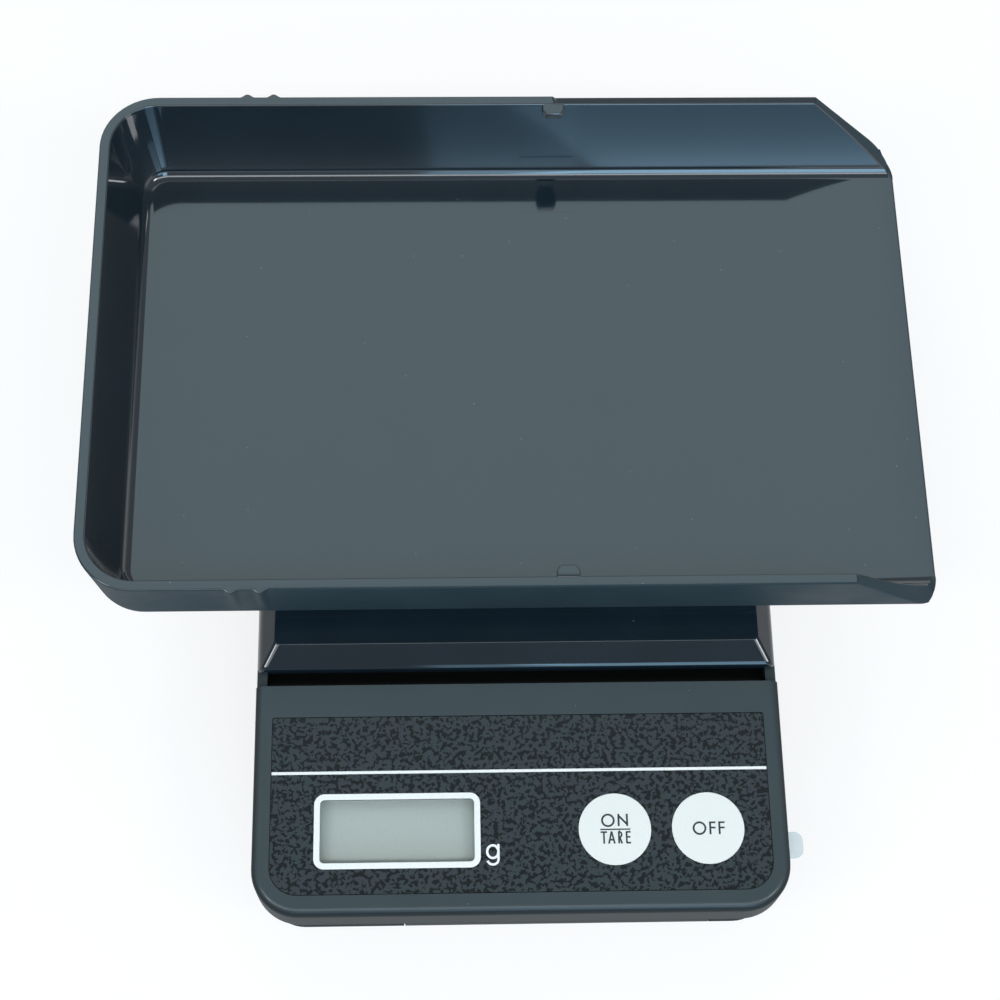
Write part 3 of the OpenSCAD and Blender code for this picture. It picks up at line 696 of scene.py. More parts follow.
@dataclass
class Finishes:
    """Every finish on the scale, built once."""

    made: dict[Look, Material] = field(default_factory=dict)

    def mouldings(self) -> dict[Look, Finish]:
        """Lists the finishes of the outer mouldings.

        Returns:
            Each finish under its look.
        """
        return {
            # Blasted: the light spreads to a soft sheen on the tops, and the upright sides stay dull.
            Look.HOUSING: MouldedAbs(
                "moulded ABS, blasted slate housing",
                "#384346",
                "#3c474a",
                roughness=0.28,
                specular=0.45,
                # The sides' darker colour, set in the finish, is painted shade.
                side_roughness=0.5,
                # The floor of the hollow under the platform is painted nearly black: painted shade.
                painted_shade_below_mm=15.5,
            ),
            # Polished: a clear, dark reflection of the room in the bevels.
            Look.PLATFORM: MouldedAbs("moulded ABS, polished slate platform", "#121e26", "#15222a", 0.06),
            # Polished, with a clear gloss layer that stands for the strong shine inside the tray.
            Look.TRAY: MouldedAbs(
                "moulded ABS, polished slate tray", "#17242c", "#1b2830", 0.09, lacquer=1.0
            ),
            # Fine-blasted: an even slate with hardly any reflection; its slate, paler than the inside's, is
            # painted reflection.
            Look.TRAY_OUTSIDE: MouldedAbs(
                "moulded ABS, fine-blasted outside of the tray", "#27363d", "#2b3a40", 0.6, specular=0.12
            ),
            # Blasted: dull, so that the underside stays dark.
            Look.TUB: MouldedAbs("moulded ABS, blasted slate tub", "#1d272b", "#212b2f", 0.65, specular=0.1),
        }

    def panel(self) -> dict[Look, Finish]:
        """Lists the finishes of the panel, the keys and the display.

        Returns:
            Each finish under its look.
        """
        return {
            # Ink under a smooth film: a flecked slate with a faint, clear reflection on it.
            Look.FILM: SpeckledFilm(),
            # Screen print: a dry, even white.
            Look.INK: PlainSurface(
                "white screen ink", "#fbfaf5", "#f4f3ee", 0.45, grain_mm=0.2, depth_mm=0.001
            ),
            # Satin moulding: a warm white with a soft sheen.
            Look.KEY: PlainSurface(
                "white satin key cap", "#f2f1ea", "#eeede6", 0.42, grain_mm=0.3, depth_mm=0.001
            ),
            # Screen print: crisp slate letters without shine.
            Look.LEGEND: PlainSurface(
                "slate screen ink", "#1f292e", "#273137", 0.5, grain_mm=0.2, depth_mm=0.001
            ),
            # Clear moulding: it shows only by the reflection on it.
            Look.LENS: ClearAcrylic(),
            # Glass before a reflector: a flat pale grey.
            Look.DISPLAY: PlainSurface(
                "reflective liquid crystal cell", "#bfc0bc", "#c3c4c0", 0.32, depth_mm=0.0003
            ),
        }

    def electronics(self) -> dict[Look, Finish]:
        """Lists the finishes of the board, the cells, the gauges and the wires.

        Returns:
            Each finish under its look.
        """
        return {
            # Layered silicone: dull pink.
            Look.SILICONE: PlainSurface("layered silicone strip", "#c99aa0", "#b98a90", 0.6),
            # Solder mask on glass fibre: an even green with some shine.
            Look.BOARD: PlainSurface("solder-masked glass fibre", "#24502f", "#1e4528", 0.35, grain_mm=0.8),
            # Poured epoxy: black, with a wet shine.
            Look.EPOXY: PlainSurface("black epoxy blob", "#15171a", "#1d2023", 0.22),
            # Fired ceramic and dipped resin: a dry tan.
            Look.CERAMIC: PlainSurface("ceramic and resin parts", "#a8804e", "#8d6a40", 0.5),
            # Moulded nylon: a soft, waxy grey.
            Look.NYLON: PlainSurface("natural nylon switch", "#8d9498", "#80878b", 0.55),
            # Printed steel: smooth blue with a long highlight.
            Look.JACKET: PlainSurface(
                "printed steel battery jacket", "#34557f", "#2e4c73", 0.3, grain_mm=2.0
            ),
            # Foil under silicone: a pale amber patch.
            Look.GAUGE: PlainSurface("silicone-covered foil gauge", "#d8cba6", "#cbbd96", 0.5),
            # Extruded PVC: red with a dull shine.
            Look.WIRE: PlainSurface("red PVC insulation", "#a3302a", "#8f2925", 0.45),
        }

    def hardware(self) -> dict[Look, Finish]:
        """Lists the finishes of the metal parts, the tab, the carrier and the feet.

        Returns:
            Each finish under its look.
        """
        return {
            # Nickel plating: bright, pale metal.
            Look.SPRING: PlainSurface("nickel-plated spring steel", "#b9bcbd", "#a9acad", 0.25, metallic=1.0),
            # Milling: pale metal with a broken reflection.
            Look.BEAM: PlainSurface("machined aluminium", "#b9bcc0", "#a7abb0", 0.35, metallic=1.0),
            # Zinc plating: grey metal with a soft reflection.
            Look.SCREW: PlainSurface("zinc-plated steel", "#a9adb0", "#989ca0", 0.35, metallic=1.0),
            # Drawn polyester: milky, with what lies behind it showing through.
            Look.TAB: PlainSurface("translucent polyester film", "#f6fcfa", "#eff6f4", 0.3, opacity=0.6),
            # Moulding with glass in it: a dry, dark grey.
            Look.SUPPORT: PlainSurface("glass-filled nylon", "#3c4246", "#464d51", 0.6, grain_mm=0.5),
            # Moulded rubber: nearly black, without shine.
            Look.RUBBER: PlainSurface(
                "moulded rubber", "#1f2123", "#282a2d", 0.85, grain_mm=0.3, depth_mm=0.01
            ),
        }

    def build(self) -> None:
        """Makes each finish under its look."""
        kinds = self.mouldings() | self.panel() | self.electronics() | self.hardware()
        for look, kind in kinds.items():
            self.made[look] = kind.build()
        log.info("finishes: %d", len(self.made))

    def dress(self, piece: Piece, look: Look) -> None:
        """Puts one finish on a whole piece."""
        piece.data.materials.clear()
        piece.data.materials.append(self.made[look])


# The finish of each node that the solids give.
NODE_FINISH: dict[str, Look] = {
    "upper_housing": Look.HOUSING,
    "lower_housing": Look.TUB,
    "battery_door": Look.HOUSING,
    "panel_overlay": Look.FILM,
    "panel_print": Look.INK,
    "display_lens": Look.LENS,
    "display_glass": Look.DISPLAY,
    "zebra_front": Look.SILICONE,
    "zebra_rear": Look.SILICONE,
    "circuit_board": Look.BOARD,
    "processor_blob": Look.EPOXY,
    "board_parts": Look.CERAMIC,
    "tare_switch": Look.NYLON,
    "off_switch": Look.NYLON,
    "tare_key": Look.KEY,
    "off_key": Look.KEY,
    "battery_front": Look.JACKET,
    "battery_rear": Look.JACKET,
    "battery_spring_front": Look.SPRING,
    "battery_spring_rear": Look.SPRING,
    "contact_bridge": Look.SPRING,
    "contact_front": Look.SPRING,
    "contact_rear": Look.SPRING,
    "pull_tab": Look.TAB,
    "load_cell": Look.BEAM,
    "strain_gauges": Look.GAUGE,
    "cell_spacer_low": Look.BEAM,
    "cell_screws_low": Look.SCREW,
    "cell_spacer_top": Look.BEAM,
    "cell_screws_top": Look.SCREW,
    "overload_screw": Look.SCREW,
    "cell_wires": Look.WIRE,
    "platform_support": Look.SUPPORT,
    "platform": Look.PLATFORM,
    "housing_screws": Look.SCREW,
    "foot_front_left": Look.RUBBER,
    "foot_front_right": Look.RUBBER,
    "foot_rear_left": Look.RUBBER,
    "foot_rear_right": Look.RUBBER,
    "tray": Look.TRAY,
}


@dataclass
class Tray:
    """The loose scoop: a drafted shell with round corners, ribs and nubs, cut to a slope at its pouring end.

    Sizes are in millimetres and angles in degrees. What cuts the shell reaches past it by the margin upwards
    and by the overreach sideways.
    """

    left: float = -68.1
    right: float = 67.69
    middle: float = 22.57
    half_width: float = 44.0
    bottom: float = 20.95
    floor: float = 22.55
    top: float = 38.35
    rim: float = 1.76
    draft: float = 5.0
    corner: float = 9.5
    outer_fillet: float = 6.0
    inner_fillet: float = 2.1
    inner_lean: float = 20.0
    floor_inset: float = 6.99
    slope: float = 46.0
    slope_setback: float = 16.0
    slope_facing: float = 0.5
    lip_corner: float = 7.0
    lip_gap: float = 0.05
    run_out: float = 8.0
    margin: float = 1.0
    overreach: float = 80.0
    edge: float = 0.28
    toe: float = 1.7
    toe_side: float = 36.0
    rim_drop: float = 0.42
    rim_step: float = 0.35
    rim_face: float = 0.02
    mark_spots: tuple[float, float] = (2.5, 11.9)
    mark_start: float = 53.4
    mark_top: float = 30.5
    mark_width: float = 0.11
    mark_height: float = 0.05
    rib_spots: tuple[float, ...] = (-43.9, -39.5)
    rib_height: float = 0.6
    rib_reach: float = 1.3
    rib_steps: int = 8
    nub_spot: float = 7.5
    nub_root: float = 3.7
    nub_tip: float = 2.5
    nub_depth: float = 1.9
    nub_taper: float = 0.9
    nub_sunk: float = 0.25
    nub_drop: float = 0.03
    nub_thickness: float = 1.5
    nub_edge: float = 0.3
    fillet_steps: int = 18
    bow_steps: int = 20
    rounding_steps: int = 12
    corner_steps: int = 14

    def outer_wall(self) -> list[Point]:
        """Lists the outside of the section from the underside to the rim.

        Returns:
            Its points, as inset and height.
        """
        lean = math.radians(self.draft)
        turn = self.outer_fillet
        inset = (self.top - self.bottom - turn) * math.tan(lean) + turn / math.cos(lean)
        centre = (inset, self.bottom + turn)
        fillet = arc(centre, (turn, turn), 270.0, 180.0 + self.draft, self.fillet_steps)
        return [*fillet, (0.0, self.top)]

    def inner_wall(self) -> list[Point]:
        """Lists the inside of the section from the rim to the floor: a bowed wall and a tight rounding.

        Returns:
            Its points, as inset and height.
        """
        turn, foot = self.inner_fillet, math.radians(self.inner_lean)
        low = (self.floor_inset - turn * math.cos(foot), self.floor + turn * (1 - math.sin(foot)))
        high = (self.rim, self.top)
        head = 2 * math.atan2(low[0] - high[0], high[1] - low[1]) - foot
        bow = (high[1] - low[1]) / (math.sin(foot) - math.sin(head))
        centre = (low[0] + bow * math.cos(foot), low[1] + bow * math.sin(foot))
        end = 180.0 + self.inner_lean
        wall = arc(centre, (bow, bow), 180.0 + math.degrees(head), end, self.bow_steps)
        centre = (self.floor_inset, self.floor + turn)
        rounding = arc(centre, (turn, turn), end, 270.0, self.rounding_steps)
        return wall + rounding[1:]

    def profile(self) -> list[Point]:
        """Lists the shell's section from the underside over the rim to the floor, as inset and height."""
        return self.outer_wall() + self.inner_wall()

    def stations(self) -> list[float]:
        """Lists where the straight walls are divided, close together over the ribs.

        Returns:
            The places along the tray, from its pouring end to its closed end.
        """
        steps = range(-self.rib_steps, self.rib_steps + 1)
        fine = [s + self.rib_reach * k / self.rib_steps for s in self.rib_spots for k in steps]
        step = [self.nub_spot + self.rim_step, self.nub_spot]
        return [self.right + self.run_out, *step, *sorted(fine, reverse=True), self.left + self.corner]

    def bulge(self, x: float, inset: float, z: float) -> float:
        """Tells how far a rib lifts the outer wall at a point.

        Args:
            x: The place along the tray.
            inset: The section's inset there.
            z: The height.

        Returns:
            How far the wall stands out.
        """
        if inset > self.rim / 2 or z < self.bottom + self.outer_fillet:
            return 0.0
        reach = min(abs(x - s) for s in self.rib_spots)
        if reach >= self.rib_reach:
            return 0.0
        return self.rib_height * (1 + math.cos(math.pi * reach / self.rib_reach)) / 2

    def ring(self, inset: float, z: float) -> list[Place]:
        """Lists one level line of the shell; the far rim drops a little on the right of its nub.

        Args:
            inset: How far it is set in from the rim's outer line.
            z: Its height.

        Returns:
            Its points, from the near wall round the closed end to the far wall.
        """
        centre_x = self.left + self.corner
        offset = self.half_width - self.corner
        radius = self.corner - inset
        near, far = [], []
        for x in self.stations():
            reach = self.half_width - inset + self.bulge(x, inset, z)
            drop = self.rim_drop if inset == 0.0 and z == self.top and x > self.nub_spot else 0.0
            near.append((x, self.middle - reach, z))
            far.append((x, self.middle + reach - drop * math.tan(math.radians(self.draft)), z - drop))
        radii = (radius, radius)
        bend = arc((centre_x, self.middle - offset), radii, 270.0, 180.0, self.corner_steps)
        back = arc((centre_x, self.middle + offset), radii, 180.0, 90.0, self.corner_steps)
        return near + [(x, y, z) for x, y in bend[1:] + back[:-1]] + far[::-1]

    def slope_cutter(self) -> Piece:
        """Makes the solid that cuts the walls down to the lip.

        Returns:
            The cutter.
        """
        start = self.right - self.slope_setback
        lean = math.tan(math.radians(self.slope))
        over = self.top + self.margin
        beyond = self.right + 3 * self.run_out
        foot = start + (self.top - self.floor) / lean
        outline = [(start - self.margin / lean, over), (foot, self.floor)]
        outline += [(beyond, self.floor), (beyond, over)]
        sides = (-self.overreach, self.overreach)
        rings = [[(x, self.middle + side, z) for x, z in outline] for side in sides]
        return loft("slope_cutter", rings, True)

    def plan_cutter(self) -> Piece:
        """Makes the solid that cuts the lip to length, with its two round corners.

        Returns:
            The cutter.
        """
        start = self.right - self.slope_setback
        half = self.half_width + self.lip_gap
        beyond = self.right + 3 * self.run_out
        wide = self.overreach
        turn = self.lip_corner
        lip = arc((self.right - turn, half - turn), (turn, turn), 90.0, 0.0, self.corner_steps)
        outline = [(start, -wide), (beyond, -wide), (beyond, wide), (start, wide), (start, half), *lip]
        outline += [(x, -y) for x, y in lip[::-1]] + [(start, -half)]
        levels = (self.bottom - self.margin, self.top + self.margin)
        rings = [[(x, self.middle + y, z) for x, y in outline] for z in levels]
        return loft("plan_cutter", rings, True)

    def at_toe(self, middle: Vector) -> bool:
        """Tells whether an edge lies where the slope runs out into the floor.

        Args:
            middle: The edge's middle, in millimetres.

        Returns:
            True for an edge that stays sharp.
        """
        at_side = abs(middle.y - self.middle) > self.toe_side
        return middle.x > self.right - self.toe and at_side and middle.z > self.bottom + self.margin

    def nub(self, side: int) -> Piece:
        """Makes one nub inside the rim, which snaps under the housing when the tray is the cover.

        Args:
            side: Minus one for the near wall, one for the far wall.

        Returns:
            The new object.
        """
        face = self.half_width - self.rim
        root, tip = face + self.nub_sunk, face - self.nub_depth
        half = self.nub_root / 2
        outline = [(half, root), (half, tip + self.nub_taper), (self.nub_tip / 2, tip)]
        outline += [(-x, y) for x, y in outline[::-1]]
        levels = (self.top - self.nub_thickness, self.top - self.nub_drop)
        rings = [[(self.nub_spot + x, self.middle + side * y, z) for x, y in outline] for z in levels]
        piece = loft("tray_nub_near" if side < 0 else "tray_nub_far", rings, True)
        ease_edges(piece, self.nub_edge)
        return piece

    def mark(self, number: int, x: float) -> Piece:
        """Makes one fine raised line that a joint of the mould leaves on the floor and up the wall.

        Args:
            number: The line's number.
            x: Where it runs.

        Returns:
            The new object.
        """
        turned = [spot for spot in self.inner_wall() if spot[1] < self.mark_top]
        line = [Vector((self.middle + self.half_width - inset, z)) for inset, z in turned]
        line.append(Vector((self.mark_start, self.floor)))
        rings = []
        for k, here in enumerate(line):
            way = (line[min(k + 1, len(line) - 1)] - line[max(k - 1, 0)]).normalized()
            out = Vector((way.y, -way.x)) * self.mark_height
            high, low, side = here + out, here - out, self.mark_width / 2
            rings.append([(x - side, *low), (x + side, *low), (x + side, *high), (x - side, *high)])
        return loft(f"tray_mark_{number}", rings, True)

    def cross_mark(self) -> Piece:
        """Makes the fine raised line on the floor between the two others.

        Returns:
            The new object.
        """
        low, high = self.floor - self.mark_height, self.floor + self.mark_height
        near, far = self.mark_start, self.mark_start + 2 * self.mark_width
        section = [(near, low), (far, low), (far, high), (near, high)]
        return loft("tray_mark_3", [[(x, y, z) for y, z in section] for x in self.mark_spots], True)

    def outward(self, middle: Vector) -> bool:
        """Tells whether a face lies on the outer side of the walls.

        Args:
            middle: The face's middle, in millimetres.

        Returns:
            True outside the middle of the walls and under the rim.
        """
        reach = self.half_width - self.rim / 2 - (self.top - middle.z) * math.tan(math.radians(self.draft))
        inner = reach - (self.corner - self.rim / 2)
        side = abs(middle.y - self.middle)
        back = self.left + self.half_width - middle.x
        past = Vector((max(0.0, side - inner), max(0.0, back - inner)))
        return past.length > self.corner - self.rim / 2 and middle.z < self.top - self.rim_face

    def on_slope(self, face: bpy.types.MeshPolygon) -> bool:
        """Tells whether a face belongs to the slope that the pouring end is cut to."""
        start = self.right - self.slope_setback - self.margin
        return face.normal.x > self.slope_facing and face.center.x / MM > start

    def build(self, finishes: Finishes) -> None:
        """Makes the shell, its nubs and the mould's fine lines, and lets them ride on the tray's body.

        Args:
            finishes: The finishes.
        """
        shell = loft("tray_shell", [self.ring(*p) for p in self.profile()], False)
        clear_flats(shell)
        cut_away(shell, self.slope_cutter())
        cut_away(shell, self.plan_cutter())
        clear_flats(shell)
        ease_edges(shell, self.edge, skip=self.at_toe)
        marks = [self.mark(k + 1, x) for k, x in enumerate(self.mark_spots)]
        for piece in (shell, self.nub(-1), self.nub(1), *marks, self.cross_mark()):
            finishes.dress(piece, Look.TRAY)
            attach(piece, Body.TRAY.value)
            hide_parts("tray")
            log.info("tray: %s, %d faces", piece.name, len(piece.data.polygons))
        shell.data.materials.append(finishes.made[Look.TRAY_OUTSIDE])
        for face in shell.data.polygons:
            face.material_index = int(self.outward(face.center / MM) or self.on_slope(face))


@dataclass
class Platform:
    """The weighing platform: a flat top with a bevel on three sides and softened mitres, over a hollow skirt.

    Sizes are in millimetres and angles in degrees.
    """

    front: float = -28.15
    back: float = 66.25
    half: float = 41.4
    top: float = 20.95
    skirt: float = 17.6
    flat_half: float = 38.5
    flat_setback: float = 3.8
    side_bevel: float = 42.0
    side_round: float = 2.6
    front_bevel: float = 28.0
    front_round: float = 0.9
    corner: float = 7.5
    corner_steps: int = 16
    mitre_round: float = 0.8
    mitre_steps: int = 4
    crest_round: float = 0.35
    crest_drop: float = 0.14
    crest_step: int = 4
    level_steps: int = 26
    wall: float = 1.5
    ledge: float = 2.6
    ledge_rise: float = 0.7
    thickness: float = 1.55
    inner_corner: float = 4.0
    pin_spots: tuple[Point, ...] = ((-26.5, -5.95), (26.5, -5.95), (-26.5, 44.05), (26.5, 44.05))
    pin_radius: float = 1.2
    pin_length: float = 2.0
    pin_sunk: float = 0.2
    pin_head: float = 2.0
    pin_dome: float = 0.5
    pin_dome_end: float = 20.0
    pin_dome_steps: int = 6
    pin_steps: int = 32

    def inset_at(self, z: float, setback: float, slope: float, fillet: float) -> float:
        """Tells how far a bevelled side is set in at a height.

        Args:
            z: The height.
            setback: From the side's outermost line to the flat top.
            slope: The bevel's slope, in degrees.
            fillet: The radius of the rounding under the bevel.

        Returns:
            The inset, in millimetres.
        """
        lean = math.radians(slope)
        crest = self.crest_round * (1 - math.cos(lean))
        drop = self.top - z
        if drop < crest:
            turned = math.acos(1 - drop / self.crest_round)
            return setback + self.crest_round * (math.tan(lean / 2) - math.sin(turned))
        centre_z = self.top - (fillet + (setback - fillet) * math.sin(lean)) / math.cos(lean)
        if z > centre_z + fillet * math.cos(lean):
            return setback - drop / math.tan(lean)
        if z > centre_z:
            return fillet - math.sqrt(max(0.0, fillet**2 - (z - centre_z) ** 2))
        return 0.0

    def levels(self) -> list[float]:
        """Lists the heights of the rings, close together where the side turns over into the top.

        Returns:
            The heights, from the skirt up.
        """
        side = self.top - self.crest_drop - self.skirt
        turns = range(self.crest_step, int(self.side_bevel) + 1, self.crest_step)
        heights = {self.skirt, self.top}
        heights |= {self.skirt + side * k / self.level_steps for k in range(self.level_steps + 1)}
        heights |= {self.top - self.crest_round * (1 - math.cos(math.radians(a))) for a in turns}
        return sorted(heights)

    def mirrored(self, right: list[Point], z: float) -> list[Place]:
        """Completes a level line from its right half."""
        return [(x, y, z) for x, y in right] + [(-x, y, z) for x, y in right[::-1]]

    def ring(self, z: float) -> list[Place]:
        """Lists one level line of the outside.

        Args:
            z: Its height.

        Returns:
            Its points.
        """
        side = self.half - self.inset_at(z, self.half - self.flat_half, self.side_bevel, self.side_round)
        front = self.front + self.inset_at(z, self.flat_setback, self.front_bevel, self.front_round)
        turn = self.half - self.corner
        radius = side - turn
        soft = self.mitre_round
        start = arc((side - soft, front + soft), (soft, soft), 270.0, 360.0, self.mitre_steps)
        bend = arc((turn, self.back - self.corner), (radius, radius), 0.0, 90.0, self.corner_steps)
        return self.mirrored(start + bend, z)

    def hollow_ring(self, inset: float, z: float, count: int) -> list[Place]:
        """Lists one level line of the hollow.

        Args:
            inset: How far it is set in from the platform's outermost line.
            z: Its height.
            count: How many points it has, as many as a line of the outside.

        Returns:
            Its points.
        """
        half, turn = self.half - inset, self.inner_corner
        low, high = self.front + inset, self.back - inset
        steps = count // 2 - self.mitre_steps - 2
        start = arc((half - turn, low + turn), (turn, turn), 270.0, 360.0, self.mitre_steps)
        bend = arc((half - turn, high - turn), (turn, turn), 0.0, 90.0, steps)
        return self.mirrored(start + bend, z)

    def pin(self, number: int, spot: Point) -> Piece:
        """Makes one pin that is staked through the support, with its domed head.

        Args:
            number: The pin's number.
            spot: Where it stands.

        Returns:
            The new object.
        """
        high = self.top - self.thickness
        low = high - self.pin_length
        dome = arc((0.0, 0.0), (self.pin_dome, self.pin_head), 90.0, self.pin_dome_end, self.pin_dome_steps)
        section = [(self.pin_radius, high + self.pin_sunk), (self.pin_radius, low), (self.pin_head, low)]
        section += [(radius, low - depth) for depth, radius in dome[1:]]
        rings = []
        for radius, z in section:
            circle = arc(spot, (radius, radius), 0.0, 360.0, self.pin_steps)[:-1]
            rings.append([(x, y, z) for x, y in circle])
        return loft(f"platform_pin_{number}", rings, True)

    def build(self, finishes: Finishes) -> None:
        """Makes the platform and its pins, and lets them ride on the platform's body.

        Args:
            finishes: The finishes.
        """
        outside = [self.ring(z) for z in self.levels()][::-1]
        count = len(outside[0])
        inner = self.wall + self.ledge
        under = self.top - self.thickness
        step = self.skirt + self.ledge_rise
        hollow = [(self.wall, self.skirt), (self.wall, step), (inner, step), (inner, under)]
        shell = loft("platform_shell", outside + [self.hollow_ring(*h, count) for h in hollow], True)
        pins = [self.pin(k + 1, spot) for k, spot in enumerate(self.pin_spots)]
        for piece in (shell, *pins):
            ease_edges(piece, 0.0)
            finishes.dress(piece, Look.PLATFORM)
            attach(piece, Body.PLATFORM.value)
            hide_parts("platform")
            log.info("platform: %s, %d faces", piece.name, len(piece.data.polygons))


class Legend(Enum):
    """The printed words, and the body that each one rides on."""

    ON_TARE = Body.TARE_KEY.value
    OFF = Body.OFF_KEY.value
    GRAM = Body.HOUSING.value


Stroke = tuple[list[Point], float]


@dataclass
class Legends:
    """Screen print in plain geometric letters: strokes of even width that are joined into one flat shape.

    Sizes and the places of the strokes are in millimetres, seen from above.
    """

    level: float = 19.5
    sunk: float = 0.006
    proud: float = 0.02
    stroke: float = 0.29
    thin: float = 0.26
    rule: float = 0.2
    gram: float = 0.37
    mitre_limit: float = 0.35
    overlap: float = 0.1
    circle_steps: int = 48
    hook_steps: int = 24
    bowl_steps: int = 12

    def ribbon(self, line: list[Point], width: float) -> list[list[Point]]:
        """Turns a centre line into the quadrilaterals of a ribbon with mitred joints.

        Args:
            line: The centre line's points.
            width: The ribbon's width.

        Returns:
            One quadrilateral for each stretch of the line.
        """
        ring = math.dist(line[0], line[-1]) < SAME
        ways = [(Vector(b) - Vector(a)).normalized() for a, b in zip(line, line[1:])]
        sides = []
        for k, point in enumerate(line):
            before = ways[k - 1] if k or ring else ways[0]
            after = ways[k % len(ways)] if k < len(ways) or ring else ways[-1]
            way = (before + after).normalized()
            reach = width / 2 / max(self.mitre_limit, way.dot(after))
            across = Vector((-way.y, way.x)) * reach
            here = Vector(point)
            sides.append((tuple(here + across), tuple(here - across)))
        return [[a[0], a[1], b[1], b[0]] for a, b in zip(sides, sides[1:])]

    def off_word(self) -> list[Stroke]:
        """Lists the strokes of the word on the right key.

        Returns:
            Each stroke's centre line and width.
        """
        strokes = [(arc((27.57, -54.44), (0.91, 0.91), 0.0, 360.0, self.circle_steps), self.stroke)]
        for stem in (29.24, 30.66):
            strokes.append(([(stem, -53.43), (stem, -55.42)], self.stroke))
            strokes.append(([(stem, -53.56), (stem + 0.84, -53.56)], self.thin))
            strokes.append(([(stem, -54.38), (stem + 0.8, -54.38)], self.thin))
        return strokes

    def gram_sign(self) -> list[Stroke]:
        """Lists the strokes of the unit's letter beside the display.

        Returns:
            Each stroke's centre line and width.
        """
        bowl = arc((-4.43, -57.67), (0.86, 0.98), 0.0, 360.0, self.circle_steps)
        hook = [(-3.57, -56.5), *arc((-4.42, -58.87), (0.85, 0.78), 0.0, -166.0, self.hook_steps)]
        return [(bowl, self.gram), (hook, self.gram)]

    def on_and_tare(self) -> list[Stroke]:
        """Lists the strokes of the two words on the left key, with the rule between them.

        Returns:
            Each stroke's centre line and width.
        """
        bold, thin = self.stroke, self.thin
        top, foot = -54.87, -56.57
        high, low = top + self.overlap, foot - self.overlap
        turned = arc((15.2, -55.26), (0.27, 0.39), 90.0, -90.0, self.bowl_steps)
        return [
            (arc((13.44, -53.04), (0.9, 0.9), 0.0, 360.0, self.circle_steps), bold),
            ([(15.09, -53.95), (15.09, -52.05)], bold),
            ([(15.09, -52.3), (16.4, -53.7)], bold),
            ([(16.4, -53.95), (16.4, -52.05)], bold),
            ([(12.2, -54.45), (16.87, -54.45)], self.rule),
            ([(12.25, top), (13.24, top)], thin),
            ([(12.74, top), (12.74, low)], thin),
            ([(13.48, low), (13.93, high)], thin),
            ([(13.93, high), (14.38, low)], thin),
            ([(13.62, -56.07), (14.24, -56.07)], thin),
            ([(15.05, high), (15.05, low)], thin),
            ([(15.05, top), (15.2, top), *turned, (15.05, -55.65)], thin),
            ([(15.15, -55.65), (15.52, low)], thin),
            ([(16.25, high), (16.25, low)], thin),
            ([(16.25, top), (16.88, top)], thin),
            ([(16.25, -55.66), (16.8, -55.66)], thin),
            ([(16.25, foot), (16.88, foot)], thin),
        ]

    def strokes(self, legend: Legend) -> list[Stroke]:
        """Lists a legend's strokes, each with its width."""
        words = {Legend.ON_TARE: self.on_and_tare, Legend.OFF: self.off_word, Legend.GRAM: self.gram_sign}
        return words[legend]()

    def outline(self, legend: Legend) -> Piece:
        """Joins a legend's strokes into one flat shape and gives it the thickness of the ink.

        Args:
            legend: The legend.

        Returns:
            The new object.
        """
        corners, quads = [], []
        for line, width in self.strokes(legend):
            for quad in self.ribbon(line, width):
                quads.append(list(range(len(corners), len(corners) + 4)))
                corners += [Vector(p) for p in quad]
        points, _, faces, _, _, sources = delaunay_2d_cdt(corners, [], quads, 0, SAME)
        inked = [face for face, source in zip(faces, sources) if source]
        shape = bmesh.new()
        low = [shape.verts.new((p.x * MM, p.y * MM, (self.level - self.sunk) * MM)) for p in points]
        for face in inked:
            shape.faces.new([low[k] for k in face])
        raised = bmesh.ops.extrude_face_region(shape, geom=shape.faces[:])
        lifted = [part for part in raised["geom"] if isinstance(part, bmesh.types.BMVert)]
        bmesh.ops.translate(shape, verts=lifted, vec=(0.0, 0.0, (self.sunk + self.proud) * MM))
        bmesh.ops.delete(shape, geom=[v for v in shape.verts if not v.link_faces], context="VERTS")
        bmesh.ops.recalc_face_normals(shape, faces=shape.faces)
        mesh = bpy.data.meshes.new(f"legend_{legend.name.lower()}")
        shape.to_mesh(mesh)
        shape.free()
        piece = bpy.data.objects.new(mesh.name, mesh)
        bpy.context.scene.collection.objects.link(piece)
        return piece

    def build(self, finishes: Finishes) -> None:
        """Makes each legend and lets it ride on its key or on the housing.

        Args:
            finishes: The finishes.
        """
        for legend in Legend:
            piece = self.outline(legend)
            finishes.dress(piece, Look.INK if legend is Legend.GRAM else Look.LEGEND)
            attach(piece, legend.value)
            log.info("legend: %s, %d faces", piece.name, len(piece.data.polygons))


@dataclass(frozen=True)
class PhotoCamera:
    """The photograph's viewpoint: where it stood over the control panel, and its turns in degrees."""

    place_mm: Place = (-11.018, -124.907, 323.699)
    tilt: float = 22.485
    pan: float = 3.991
    roll: float = -3.182
    lens_mm: float = 72.0
    sensor_mm: float = 36.0
    near: float = 0.01
    far: float = 20.0

    def build(self) -> None:
        """Makes the camera and gives it to the scene."""
        data = bpy.data.cameras.new("camera")
        data.lens = self.lens_mm
        data.sensor_width = self.sensor_mm
        data.clip_start = self.near
        data.clip_end = self.far
        camera = bpy.data.objects.new("camera", data)
        bpy.context.scene.collection.objects.link(camera)
        turn = (
            Matrix.Rotation(-math.radians(self.pan), 4, "Z")
            @ Matrix.Rotation(math.radians(self.tilt), 4, "X")
            @ Matrix.Rotation(-math.radians(self.roll), 4, "Z")
        )
        camera.matrix_world = Matrix.Translation(Vector(self.place_mm) * MM) @ turn
        bpy.context.scene.camera = camera
        log.info("camera: %.1f mm lens", self.lens_mm)


